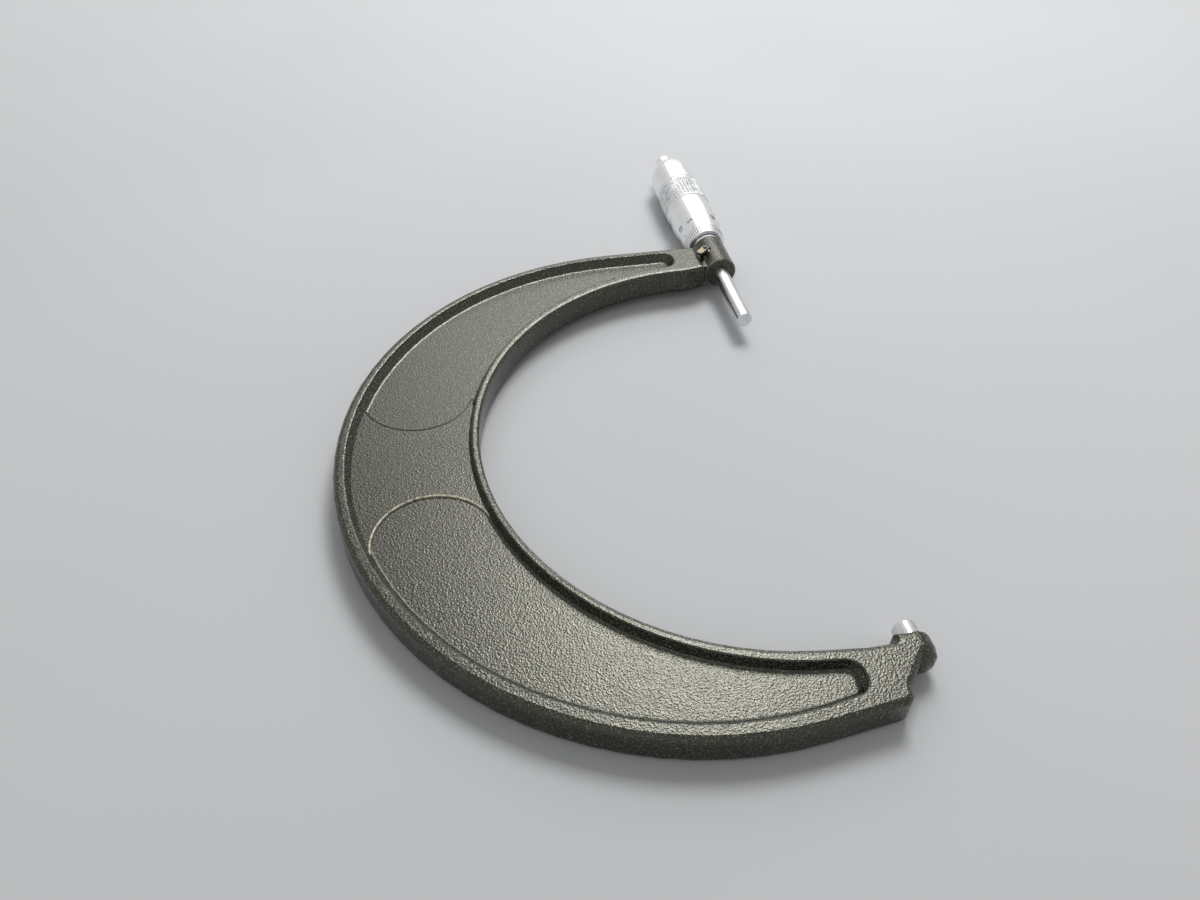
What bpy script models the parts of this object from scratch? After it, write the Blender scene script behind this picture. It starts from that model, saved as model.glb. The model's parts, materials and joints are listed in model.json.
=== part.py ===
# Outside micrometer with a 150 to 175 mm measuring range, shown closed.
# The measuring axis is X, the anvil's face is the origin, +Y runs to the back of the frame and the
# frame lies flat in the XY plane. All lengths are in metres.

from math import acos, asin, cos, pi, radians, sin, sqrt, tau

import bmesh
import bpy
from mathutils import Matrix, Vector

# Measuring range
LEAST_READING = 0.150
TRAVEL = 0.025

# Frame: a flat C between two circles, wider at the anvil's arm than at the head's arm
FRAME_THICKNESS = 0.0108
EDGE_ROUND = 0.0018
THROAT_CENTRE_Y = 0.0179
BACK_WIDTH = 0.0478
ANVIL_ARM_WIDTH = 0.0233
HEAD_ARM_WIDTH = 0.0175
ANVIL_SIDE_STRAIGHT = 0.0132
ANVIL_ARM_END_Y = 0.0083
ANVIL_ARM_CORNER = 0.0032
NOTCH_FLAT = 0.0003
NOTCH_ROUND = 0.0030
ANVIL_EDGE_START_Y = 0.0292
ANVIL_EDGE_END_Y = 0.0146
HEAD_ARM_END_Y = 0.0077
HEAD_ARM_CORNER = 0.0022
HEAD_ARM_FLARE = 0.0015
HEAD_FLARE_Y = 0.0160

# Recess in each side of the frame, which leaves a web between two rims
RECESS_DEPTH = 0.0033
INNER_RIM_BACK = 0.0028
INNER_RIM_ARM = 0.0048
OUTER_RIM_BACK = 0.0039
OUTER_RIM_ANVIL = 0.0055
OUTER_RIM_HEAD = 0.0033
RECESS_END_Y = 0.0193
RECESS_CORNER = 0.0045
INNER_WALL_RUN = 0.0011
OUTER_WALL_RUN = 0.0020
RECESS_EDGE_ROUND = 0.0007
RECESS_FOOT_ROUND = 0.0006

# Low pad across the middle of the web
PAD_HEIGHT = 0.0005
PAD_WAIST = 0.0316
PAD_SHIFT = 0.0032
PAD_ARC_TRIM = 0.00105
PAD_ARC_DROP = 0.00515

# Anvil and the boss that holds it
ANVIL_RADIUS = 0.0036
ANVIL_STANDOUT = 0.0047
ANVIL_CHAMFER = 0.0003
ANVIL_SHANK_RADIUS = 0.0026
ANVIL_SHANK_LENGTH = 0.0080
BOSS_LENGTH = 0.0098
BOSS_STEP = 0.0017
BOSS_RELIEF = 0.0028
BOSS_SHOULDER_Y = 0.0060
BOSS_FILLET = 0.0010
BOSS_END_ROUND = 0.0044

# Hub on the head's arm
HUB_STEP = 0.0037
HUB_RADIUS = 0.0067
HUB_LENGTH = 0.0185
HUB_EDGE_ROUND = 0.0005
SOCKET_DEPTH = 0.0060
NECK_THICKNESS = 0.0072
NECK_END_SETBACK = 0.0022

# Spindle
SPINDLE_RADIUS = 0.003175
SPINDLE_STANDOUT = 0.0335
SPINDLE_CHAMFER = 0.0002
THREAD_RADIUS = 0.0038
THREAD_SETBACK = 0.0010
THREAD_RUN_IN = 0.0020
TAPER_LEAD = 0.0005
TAPER_LENGTH = 0.0038
TAPER_END_RADIUS = 0.0032
STUD_RADIUS = 0.0024
STUD_LENGTH = 0.0068

# Sleeves between the hub and the thimble
INNER_SLEEVE_RADIUS = 0.0052
GUIDE_LAND = 0.0038
NUT_LAND = 0.0140
SLIT_COUNT = 3
SLIT_WIDTH = 0.0008
SLIT_LENGTH = 0.0120
OUTER_SLEEVE_RADIUS = 0.0064
OUTER_SLEEVE_LENGTH = 0.0293
OUTER_SLEEVE_CHAMFER = 0.0003
SPANNER_HOLE_RADIUS = 0.0005
SPANNER_HOLE_SETBACK = 0.0040
ADJUSTING_NUT_LENGTH = 0.0070
ADJUSTING_NUT_RADIUS = 0.0063
ADJUSTING_NUT_SETBACK = 0.0018
NUT_SLOT_WIDTH = 0.0012
NUT_SLOT_DEPTH = 0.0015

# Thimble
THIMBLE_RADIUS = 0.00985
THIMBLE_EDGE_RADIUS = 0.0080
THIMBLE_EDGE_CHAMFER = 0.0003
THIMBLE_ZERO_SETBACK = 0.0018
THIMBLE_CONE_LENGTH = 0.0182
THIMBLE_PLAIN_LENGTH = 0.0048
THIMBLE_GROOVE_LENGTH = 0.0062
THIMBLE_GROOVE_DEPTH = 0.00045
THIMBLE_GROOVE_SLOPE = 0.0006
KNURL_LENGTH = 0.0155
KNURL_CHAMFER = 0.0003
THIMBLE_WEB = 0.0032
THIMBLE_RECESS_RADIUS = 0.0081
THIMBLE_RECESS_DEPTH = 0.0016
THIMBLE_WASHER_RADIUS = 0.0055
THIMBLE_WASHER_THICKNESS = 0.0006
THIMBLE_NUT_RADIUS = 0.0052
THIMBLE_NUT_LENGTH = 0.0035

# End cap that houses the ratchet
CAP_RADIUS = 0.0097
CAP_NECK_RADIUS = 0.0094
CAP_NECK_LENGTH = 0.0013
CAP_STRAIGHT_LENGTH = 0.0092
CAP_DOME_LENGTH = 0.0144
CAP_END_RADIUS = 0.0047
CAP_DOME_POWER = 2.6
CAP_CHAMFER = 0.0002
CAP_BORE_RADIUS = 0.0069
CAP_END_WALL = 0.0043
CAP_SLOT_RADIUS = 0.0074

# Ratchet
KNOB_RADIUS = 0.0040
KNOB_LENGTH = 0.0072
KNOB_DOME_LENGTH = 0.0020
KNOB_NECK_RADIUS = 0.0034
KNOB_NECK_LENGTH = 0.0007
KNOB_SHANK_RADIUS = 0.0024
KNOB_FLAT_HALF_WIDTH = 0.0019
RATCHET_TEETH = 16
TOOTH_HEIGHT = 0.0007
TOOTH_ROOT = 0.0001
TOOTH_STEEP_SHARE = 0.10
WHEEL_RADIUS = 0.0062
WHEEL_THICKNESS = 0.0027
CLUTCH_RADIUS = 0.0061
CLUTCH_HOLE_RADIUS = 0.0036
CLUTCH_THICKNESS = 0.0025
LUG_COUNT = 4
LUG_WIDTH = 0.0019
SPRING_RADIUS = 0.0043
SPRING_WIRE_RADIUS = 0.0004
SPRING_TURNS = 6
RATCHET_SCREW_RADIUS = 0.0010
RATCHET_SCREW_LENGTH = 0.0050
RATCHET_SCREW_HEAD_RADIUS = 0.0030
RATCHET_SCREW_HEAD_HEIGHT = 0.0018

# Spindle lock
LOCK_SETBACK = 0.0029
LOCK_PIN_RADIUS = 0.0011
LOCK_PIN_DEPTH = 0.0030
LOCK_CAM_RELIEF = 0.0003
LOCK_SEAT_RADIUS = 0.0021
LOCK_SEAT_HEIGHT = 0.0052
LOCK_TANG_SIDE = 0.0013
LOCK_LEVER_LENGTH = 0.0039
LOCK_LEVER_THICKNESS = 0.0012
LOCK_LEVER_HUB_RADIUS = 0.0015
LOCK_LEVER_TIP_RADIUS = 0.0014
LOCK_LEVER_ANGLE = radians(132)
LOCK_WASHER_RADIUS = 0.0018
LOCK_WASHER_THICKNESS = 0.00025
LOCK_SCREW_RADIUS = 0.0004
LOCK_SCREW_LENGTH = 0.0024
LOCK_SCREW_HEAD_RADIUS = 0.0009
LOCK_SCREW_HEAD_HEIGHT = 0.0005
SCREW_SLOT_WIDTH = 0.0003

# Clearances
RUNNING_CLEARANCE = 0.0001
FIT_GAP = 0.0002
THREAD_RELIEF = 0.0003
TOOTH_CLEARANCE = 0.00015

# How finely round shapes are divided
LARGE_ARC_STEPS = 40
ROUND_STEPS = 40
SMALL_ROUND_STEPS = 24
FINE_ROUND_STEPS = 12
CORNER_STEPS = 6
EDGE_STEPS = 3
RECESS_EDGE_STEPS = 2

# Places along the axis, from the anvil's face
BOSS_RADIUS = FRAME_THICKNESS / 2
BOSS_FACE_X = -ANVIL_STANDOUT
BOSS_BACK_X = BOSS_FACE_X - BOSS_LENGTH
HUB_FACE_X = LEAST_READING + SPINDLE_STANDOUT
HUB_REAR_X = HUB_FACE_X + HUB_LENGTH
SOCKET_X = HUB_REAR_X - SOCKET_DEPTH
INNER_SLEEVE_X = SOCKET_X + FIT_GAP
THREAD_X = INNER_SLEEVE_X + GUIDE_LAND + THREAD_SETBACK
INNER_SLEEVE_END_X = THREAD_X + TRAVEL + THREAD_RUN_IN + NUT_LAND
INNER_SLEEVE_LENGTH = INNER_SLEEVE_END_X - INNER_SLEEVE_X
OUTER_SLEEVE_X = HUB_REAR_X + FIT_GAP
THIMBLE_X = HUB_REAR_X + THIMBLE_ZERO_SETBACK
KNURL_X = THIMBLE_X + THIMBLE_CONE_LENGTH + THIMBLE_PLAIN_LENGTH + THIMBLE_GROOVE_LENGTH
THIMBLE_END_X = KNURL_X + KNURL_LENGTH
WEB_END_X = THIMBLE_END_X - THIMBLE_RECESS_DEPTH
WEB_X = WEB_END_X - THIMBLE_WEB
TAPER_X = WEB_X - TAPER_LEAD
TAPER_START_RADIUS = THREAD_RADIUS - RUNNING_CLEARANCE
STUD_END_X = TAPER_X + TAPER_LENGTH + STUD_LENGTH
SPIGOT_X = WEB_END_X + FIT_GAP
WASHER_X = WEB_END_X + FIT_GAP
NUT_X = WASHER_X + THIMBLE_WASHER_THICKNESS + FIT_GAP
CAP_X = THIMBLE_END_X + FIT_GAP
CAP_END_X = CAP_X + CAP_NECK_LENGTH + CAP_STRAIGHT_LENGTH + CAP_DOME_LENGTH
CAP_FLOOR_X = CAP_END_X - CAP_END_WALL
WHEEL_END_X = CAP_FLOOR_X - FIT_GAP
WHEEL_X = WHEEL_END_X - WHEEL_THICKNESS
CLUTCH_END_X = WHEEL_X - 2 * TOOTH_HEIGHT - TOOTH_CLEARANCE
CLUTCH_X = CLUTCH_END_X - CLUTCH_THICKNESS
KNOB_X = CAP_END_X + FIT_GAP

# Places across the frame
THROAT_LEFT = BOSS_FACE_X - BOSS_STEP
THROAT_RIGHT = HUB_FACE_X - HUB_STEP
THROAT_RADIUS = (THROAT_RIGHT - THROAT_LEFT) / 2
THROAT_CENTRE = Vector(((THROAT_RIGHT + THROAT_LEFT) / 2, THROAT_CENTRE_Y))
THROAT_BACK_Y = THROAT_CENTRE_Y + THROAT_RADIUS
OUTER_LEFT = THROAT_LEFT - ANVIL_ARM_WIDTH
OUTER_RIGHT = THROAT_RIGHT + HEAD_ARM_WIDTH
OUTER_RADIUS = (OUTER_RIGHT - OUTER_LEFT) / 2
OUTER_BACK_Y = THROAT_BACK_Y + BACK_WIDTH
OUTER_CENTRE = Vector(((OUTER_RIGHT + OUTER_LEFT) / 2, OUTER_BACK_Y - OUTER_RADIUS))
RECESS_INNER_RADIUS = THROAT_RADIUS + INNER_RIM_ARM
RECESS_INNER_CENTRE = Vector((THROAT_CENTRE.x, THROAT_BACK_Y + INNER_RIM_BACK - RECESS_INNER_RADIUS))
RECESS_LEFT = OUTER_LEFT + OUTER_RIM_ANVIL
RECESS_RIGHT = OUTER_RIGHT - OUTER_RIM_HEAD
RECESS_OUTER_RADIUS = (RECESS_RIGHT - RECESS_LEFT) / 2
RECESS_OUTER_CENTRE = Vector(
    ((RECESS_RIGHT + RECESS_LEFT) / 2, OUTER_BACK_Y - OUTER_RIM_BACK - RECESS_OUTER_RADIUS)
)
RECESS_LOW_Y = THROAT_BACK_Y + INNER_RIM_BACK
RECESS_HIGH_Y = OUTER_BACK_Y - OUTER_RIM_BACK
PAD_ARC_RADIUS = (RECESS_HIGH_Y - RECESS_LOW_Y) / 2 - PAD_ARC_TRIM
PAD_ARC_Y = (RECESS_HIGH_Y + RECESS_LOW_Y) / 2 - PAD_ARC_DROP
WEB_HALF = FRAME_THICKNESS / 2 - RECESS_DEPTH
LOCK_X = SOCKET_X - LOCK_SETBACK
LOCK_Y = SPINDLE_RADIUS + RUNNING_CLEARANCE + LOCK_PIN_RADIUS
LOCK_WASHER_Z = LOCK_SEAT_HEIGHT + TOOTH_CLEARANCE
LOCK_LEVER_Z = LOCK_WASHER_Z + LOCK_WASHER_THICKNESS + TOOTH_CLEARANCE


def clear_scene():
    for old in list(bpy.data.objects):
        bpy.data.objects.remove(old, do_unlink=True)


def material(name, colour, metallic, roughness):
    made = bpy.data.materials.new(name)
    made.use_nodes = True
    shader = made.node_tree.nodes["Principled BSDF"]
    shader.inputs["Base Color"].default_value = (*colour, 1.0)
    shader.inputs["Metallic"].default_value = metallic
    shader.inputs["Roughness"].default_value = roughness
    return made


def add_object(name, bm, finish, parent=None, place=(0, 0, 0), smooth=True):
    """Turns the bmesh into an object with outward faces, placed under its parent."""
    bmesh.ops.recalc_face_normals(bm, faces=bm.faces)
    mesh = bpy.data.meshes.new(name)
    bm.to_mesh(mesh)
    bm.free()
    if smooth:
        mesh.shade_smooth()
        mesh.set_sharp_from_angle(angle=radians(30))
    if finish:
        mesh.materials.append(finish)
    made = bpy.data.objects.new(name, mesh)
    bpy.context.collection.objects.link(made)
    made.parent = parent
    made.location = place
    return made


def empty(name, parent=None, place=(0, 0, 0)):
    made = bpy.data.objects.new(name, None)
    bpy.context.collection.objects.link(made)
    made.parent = parent
    made.location = place
    return made


def boolean(target, tool, operation):
    """Cuts the tool from the target, or joins it, and hides the tool from renders."""
    modifier = target.modifiers.new(tool.name, "BOOLEAN")
    modifier.operation = operation
    modifier.solver = "EXACT"
    modifier.object = tool
    tool.hide_render = True
    tool.display_type = "WIRE"


def arc(centre, radius, start, end, steps):
    """Points on a circle from one angle to another, in radians, with both ends."""
    turn = (end - start) / steps
    return [
        Vector(centre) + radius * Vector((cos(start + n * turn), sin(start + n * turn)))
        for n in range(steps + 1)
    ]


def angle_of(point, centre):
    """The direction of a point from a centre, from -90 to 270 degrees, in radians."""
    step = Vector(point) - Vector(centre)
    flat = asin(max(-1.0, min(1.0, step.y / step.length)))
    return flat if step.x >= 0 else pi - flat


def prism(outline, low, high):
    """A bmesh of a flat outline extruded along Z."""
    bm = bmesh.new()
    bottom = [bm.verts.new((p.x, p.y, low)) for p in outline]
    face = bm.faces.new(bottom)
    grown = bmesh.ops.extrude_face_region(bm, geom=[face])
    top = [v for v in grown["geom"] if isinstance(v, bmesh.types.BMVert)]
    bmesh.ops.translate(bm, verts=top, vec=(0, 0, high - low))
    return bm


def stacked(outlines, heights):
    """A bmesh that joins outlines of equal point count, one above the other, and closes both ends."""
    bm = bmesh.new()
    rings = [
        [bm.verts.new((p.x, p.y, z)) for p in outline] for outline, z in zip(outlines, heights)
    ]
    for lower, upper in zip(rings, rings[1:]):
        for n, corner in enumerate(lower):
            bm.faces.new((lower[n - 1], corner, upper[n], upper[n - 1]))
    bm.faces.new(rings[0])
    bm.faces.new(rings[-1])
    return bm


def turned(profile, steps=ROUND_STEPS):
    """A bmesh of a closed profile of (x, radius) points spun round the X axis."""
    bm = bmesh.new()
    ring = [bm.verts.new((x, 0, radius)) for x, radius in profile]
    edges = [bm.edges.new((ring[n - 1], ring[n])) for n in range(len(ring))]
    on_axis = [e for e in edges if all(v.co.z == 0 for v in e.verts)]
    bmesh.ops.delete(bm, geom=on_axis, context="EDGES")
    around = list(bm.verts) + list(bm.edges)
    bmesh.ops.spin(bm, geom=around, axis=(1, 0, 0), cent=(0, 0, 0), angle=tau, steps=steps)
    bmesh.ops.remove_doubles(bm, verts=bm.verts, dist=1e-7)
    return bm


def rod(radius, length, chamfer=0.0):
    """The profile of a solid bar with the same small chamfer at both ends."""
    if chamfer == 0:
        return [(0, 0), (0, radius), (length, radius), (length, 0)]
    return [
        (0, 0),
        (0, radius - chamfer),
        (chamfer, radius),
        (length - chamfer, radius),
        (length, radius - chamfer),
        (length, 0),
    ]


def tube(inner, outer, length, chamfer=0.0):
    """The profile of a ring or tube, with its outer edges chamfered."""
    return [(0, inner), *[p for p in rod(outer, length, chamfer) if p[1] > 0], (length, inner)]


def disc(radius, low, high, steps=SMALL_ROUND_STEPS):
    """A bmesh of an upright cylinder round Z."""
    return prism(arc((0, 0), radius, 0, tau, steps)[:-1], low, high)


def block(size, centre):
    """A bmesh of a box."""
    bm = bmesh.new()
    bmesh.ops.create_cube(bm, size=1.0, matrix=Matrix.Translation(centre) @ Matrix.Diagonal((*size, 1)))
    return bm


def round_edge(end_x, radius, size, side):
    """Points that round the outer edge of a turned piece, at its far end (side 1) or near end (side -1)."""
    turns = [n * pi / 2 / EDGE_STEPS for n in range(EDGE_STEPS + 1)]
    points = [
        (end_x - side * size * (1 - cos(turn)), radius - size * (1 - sin(turn))) for turn in turns
    ]
    return points[::side]


# Outlines in the frame's plane

def inset(outline, distance):
    """The outline moved inward by a distance, corner by corner. It runs anticlockwise from above."""
    moved = []
    count = len(outline)
    for n, point in enumerate(outline):
        before = (point - outline[n - 1]).normalized()
        after = (outline[(n + 1) % count] - point).normalized()
        side = Vector((-before.y - after.y, before.x + after.x)).normalized()
        lean = side.dot(Vector((-after.y, after.x)))
        moved.append(point + side * (distance / lean))
    return moved


def frame_outline():
    """The frame's plan: anvil boss, throat, end of the head's arm, outer side, end of the anvil's arm."""
    throat_start = pi + asin((THROAT_CENTRE.y - ANVIL_EDGE_START_Y) / THROAT_RADIUS)
    throat_end = -asin((THROAT_CENTRE.y - HEAD_FLARE_Y) / THROAT_RADIUS)
    side_angle = pi + asin(ANVIL_SIDE_STRAIGHT / OUTER_RADIUS)
    outer = arc(OUTER_CENTRE, OUTER_RADIUS, 0, side_angle, LARGE_ARC_STEPS)
    outward = Vector((cos(side_angle), sin(side_angle)))
    along = Vector((-outward.y, outward.x))
    first = outer[-1] - outward * ANVIL_ARM_CORNER
    corner = first + along * ((ANVIL_ARM_END_Y + ANVIL_ARM_CORNER - first.y) / along.y)
    notch = Vector((corner.x + NOTCH_FLAT, ANVIL_ARM_END_Y - NOTCH_ROUND))
    notch_end = Vector((BOSS_BACK_X + BOSS_END_ROUND, -EDGE_ROUND))
    reach = notch_end - notch
    slope_start = asin(reach.y / reach.length) + acos(NOTCH_ROUND / reach.length)
    edge_x = BOSS_FACE_X - BOSS_RELIEF
    fillet = Vector((edge_x + BOSS_FILLET, BOSS_SHOULDER_Y + BOSS_FILLET))
    head_corner = Vector((OUTER_RIGHT - HEAD_ARM_CORNER, HEAD_ARM_END_Y + HEAD_ARM_CORNER))
    return [
        Vector((BOSS_FACE_X, -EDGE_ROUND)),
        Vector((BOSS_FACE_X, BOSS_SHOULDER_Y)),
        *arc(fillet, BOSS_FILLET, -pi / 2, -pi, EDGE_STEPS),
        Vector((edge_x, ANVIL_EDGE_END_Y)),
        *arc(THROAT_CENTRE, THROAT_RADIUS, throat_start, throat_end, LARGE_ARC_STEPS),
        Vector((THROAT_RIGHT + HEAD_ARM_FLARE, HEAD_ARM_END_Y)),
        *arc(head_corner, HEAD_ARM_CORNER, -pi / 2, 0, CORNER_STEPS),
        *outer,
        *arc(corner, ANVIL_ARM_CORNER, side_angle, 3 * pi / 2, CORNER_STEPS),
        *arc(notch, NOTCH_ROUND, pi / 2, slope_start, EDGE_STEPS),
        notch_end,
    ]


def recess_outline(inner_in, outer_in):
    """The recess's border, its inner side moved in by one distance and its other sides by another."""
    inner = RECESS_INNER_RADIUS + inner_in
    outer = RECESS_OUTER_RADIUS - outer_in
    corner = RECESS_CORNER - outer_in
    row = RECESS_END_Y + outer_in + corner
    inner_reach = sqrt((inner + corner) ** 2 - (row - RECESS_INNER_CENTRE.y) ** 2)
    outer_reach = sqrt((outer - corner) ** 2 - (row - RECESS_OUTER_CENTRE.y) ** 2)
    left_inner = Vector((RECESS_INNER_CENTRE.x - inner_reach, row))
    right_inner = Vector((RECESS_INNER_CENTRE.x + inner_reach, row))
    left_outer = Vector((RECESS_OUTER_CENTRE.x - outer_reach, row))
    right_outer = Vector((RECESS_RIGHT - outer_in - corner, row))
    start = angle_of(left_inner, RECESS_INNER_CENTRE)
    end = angle_of(right_inner, RECESS_INNER_CENTRE)
    turn = angle_of(left_outer, RECESS_OUTER_CENTRE)
    steps = CORNER_STEPS
    return [
        *arc(left_inner, corner, -pi / 2, start - pi, steps),
        *arc(RECESS_INNER_CENTRE, inner, start, end, LARGE_ARC_STEPS)[1:],
        *arc(right_inner, corner, end + pi, 3 * pi / 2, steps)[1:],
        *arc(right_outer, corner, -pi / 2, 0, steps),
        *arc(RECESS_OUTER_CENTRE, outer, 0, turn, LARGE_ARC_STEPS),
        *arc(left_outer, corner, turn, 3 * pi / 2, steps)[1:],
    ]


def crossing(centre, radius, other, other_radius, near_x):
    """Where two circles cross, on the side nearer to an X, or else the first one's point nearest the other."""
    step = Vector(other) - Vector(centre)
    apart = step.length
    along = min(radius, (apart**2 + radius**2 - other_radius**2) / (2 * apart))
    across = sqrt(radius**2 - along**2)
    middle = Vector(centre) + step * (along / apart)
    side = Vector((-step.y, step.x)) * (across / apart)
    return min((middle + side, middle - side), key=lambda point: abs(point.x - near_x))


def pad_outline(grow):
    """The pad between two hollow sides, with its ends inside the rims."""
    middle = THROAT_CENTRE.x + PAD_SHIFT
    radius = PAD_ARC_RADIUS - grow
    reach = PAD_WAIST / 2 + PAD_ARC_RADIUS
    left, right = Vector((middle - reach, PAD_ARC_Y)), Vector((middle + reach, PAD_ARC_Y))
    inner = RECESS_INNER_RADIUS - RECESS_EDGE_ROUND
    outer = RECESS_OUTER_RADIUS + RECESS_EDGE_ROUND
    low_left = crossing(RECESS_INNER_CENTRE, inner, left, radius, middle)
    low_right = crossing(RECESS_INNER_CENTRE, inner, right, radius, middle)
    high_left = crossing(RECESS_OUTER_CENTRE, outer, left, radius, middle)
    high_right = crossing(RECESS_OUTER_CENTRE, outer, right, radius, middle)
    edges = (
        (RECESS_INNER_CENTRE, inner, low_left, low_right, CORNER_STEPS),
        (right, radius, low_right, high_right, 3 * CORNER_STEPS),
        (RECESS_OUTER_CENTRE, outer, high_right, high_left, CORNER_STEPS),
        (left, radius, high_left, low_left, 3 * CORNER_STEPS),
    )
    points = []
    for centre, size, start, end, steps in edges:
        points += arc(centre, size, angle_of(start, centre), angle_of(end, centre), steps)[:-1]
    return points


# Frame

def frame_blank():
    """The C-shaped plate, its edges rounded in steps."""
    outline = frame_outline()
    turns = [n * pi / 2 / EDGE_STEPS for n in range(EDGE_STEPS + 1)]
    rounding = [(EDGE_ROUND * (1 - cos(t)), EDGE_ROUND * (1 - sin(t))) for t in turns]
    half = FRAME_THICKNESS / 2
    upper = [(half - drop, distance) for drop, distance in reversed(rounding)]
    lower = [(-height, distance) for height, distance in reversed(upper)]
    levels = lower + upper
    return stacked([inset(outline, distance) for _, distance in levels], [z for z, _ in levels])


def recess_tool(side):
    """The recess's hollow on one side of the frame, flared at its edge and rounded at its foot."""
    surface = FRAME_THICKNESS / 2
    wall = RECESS_DEPTH - RECESS_EDGE_ROUND - RECESS_FOOT_ROUND
    levels = [(surface + EDGE_ROUND, 0.0, -RECESS_EDGE_ROUND)]
    for n in range(RECESS_EDGE_STEPS + 1):
        turn = n * pi / 2 / RECESS_EDGE_STEPS
        drop = RECESS_EDGE_ROUND * (1 - cos(turn))
        levels.append((surface - drop, 0.0, -RECESS_EDGE_ROUND * (1 - sin(turn))))
    for n in range(RECESS_EDGE_STEPS + 1):
        turn = n * pi / 2 / RECESS_EDGE_STEPS
        height = WEB_HALF + RECESS_FOOT_ROUND * (1 - sin(turn))
        share = (surface - RECESS_EDGE_ROUND - height) / (wall + RECESS_FOOT_ROUND)
        levels.append((height, share, RECESS_FOOT_ROUND * (1 - cos(turn))))
    outlines = [
        recess_outline(INNER_WALL_RUN * share + more, OUTER_WALL_RUN * share + more)
        for _, share, more in levels
    ]
    bm = stacked(outlines, [side * height for height, _, _ in levels])
    return add_object("recess_tool", bm, None)


def pad_tool():
    top = WEB_HALF + PAD_HEIGHT
    foot = WEB_HALF - PAD_HEIGHT
    grow = 2 * PAD_HEIGHT
    outlines = [pad_outline(0), pad_outline(grow), pad_outline(grow), pad_outline(0)]
    return add_object("pad_tool", stacked(outlines, [-top, -foot, foot, top]), None)


def boss_tool():
    """The round boss for the anvil, with a well rounded back end."""
    profile = [
        (0, 0),
        (BOSS_LENGTH, 0),
        *round_edge(BOSS_LENGTH, BOSS_RADIUS, EDGE_ROUND, 1),
        *round_edge(0, BOSS_RADIUS, BOSS_END_ROUND, -1),
    ]
    return add_object("boss_tool", turned(profile), None, place=(BOSS_BACK_X, 0, 0))


def hub_tool():
    profile = [
        (0, 0),
        (HUB_LENGTH, 0),
        *round_edge(HUB_LENGTH, HUB_RADIUS, HUB_EDGE_ROUND, 1),
        *round_edge(0, HUB_RADIUS, HUB_EDGE_ROUND, -1),
    ]
    return add_object("hub_tool", turned(profile), None, place=(HUB_FACE_X, 0, 0))


def neck_tool():
    """The thinner stretch that joins the arm to the hub."""
    start = HUB_FACE_X + HUB_EDGE_ROUND
    end = OUTER_RIGHT - NECK_END_SETBACK
    top_y = HEAD_ARM_END_Y + EDGE_ROUND
    bm = block((end - start, top_y, NECK_THICKNESS), ((start + end) / 2, top_y / 2, 0))
    return add_object("neck_tool", bm, None)


def bore_tools():
    """The anvil's hole, the spindle's bore with the sleeve's socket, and the lock's bore and seat."""
    out = EDGE_ROUND
    anvil = rod(ANVIL_SHANK_RADIUS + RUNNING_CLEARANCE, ANVIL_SHANK_LENGTH + FIT_GAP + out)
    anvil_x = BOSS_FACE_X - ANVIL_SHANK_LENGTH - FIT_GAP
    bore = SPINDLE_RADIUS + RUNNING_CLEARANCE
    socket = INNER_SLEEVE_RADIUS + RUNNING_CLEARANCE
    bore_length = SOCKET_X - HUB_FACE_X
    stepped = [
        (-out, 0),
        (-out, bore),
        (bore_length, bore),
        (bore_length, socket),
        (HUB_LENGTH + out, socket),
        (HUB_LENGTH + out, 0),
    ]
    lock_place = (LOCK_X, LOCK_Y, 0)
    lock_bore = disc(LOCK_PIN_RADIUS + RUNNING_CLEARANCE, -LOCK_PIN_DEPTH - FIT_GAP, HUB_RADIUS)
    spot_face = disc(LOCK_SEAT_RADIUS + FIT_GAP, LOCK_SEAT_HEIGHT, HUB_RADIUS + out)
    return [
        add_object("anvil_hole_tool", turned(anvil, SMALL_ROUND_STEPS), None, place=(anvil_x, 0, 0)),
        add_object("spindle_bore_tool", turned(stepped, SMALL_ROUND_STEPS), None, place=(HUB_FACE_X, 0, 0)),
        add_object("spot_face_tool", spot_face, None, place=lock_place),
        add_object("lock_bore_tool", lock_bore, None, place=lock_place),
    ]


def build_frame(finish):
    frame = add_object("frame", frame_blank(), finish)
    seat = add_object(
        "lock_seat_tool", disc(LOCK_SEAT_RADIUS, 0, LOCK_SEAT_HEIGHT), None, place=(LOCK_X, LOCK_Y, 0)
    )
    for tool in (boss_tool(), hub_tool(), neck_tool(), seat):
        boolean(frame, tool, "UNION")
    for side in (1, -1):
        boolean(frame, recess_tool(side), "DIFFERENCE")
    boolean(frame, pad_tool(), "UNION")
    for tool in bore_tools():
        boolean(frame, tool, "DIFFERENCE")
    return frame


# Anvil, spindle and sleeves

def build_anvil(finish):
    head_start = ANVIL_SHANK_LENGTH + FIT_GAP
    length = ANVIL_SHANK_LENGTH + ANVIL_STANDOUT
    profile = [
        (0, 0),
        (0, ANVIL_SHANK_RADIUS),
        (head_start, ANVIL_SHANK_RADIUS),
        (head_start, ANVIL_RADIUS),
        (length - ANVIL_CHAMFER, ANVIL_RADIUS),
        (length, ANVIL_RADIUS - ANVIL_CHAMFER),
        (length, 0),
    ]
    add_object("anvil", turned(profile, SMALL_ROUND_STEPS), finish, place=(-length, 0, 0))


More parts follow.
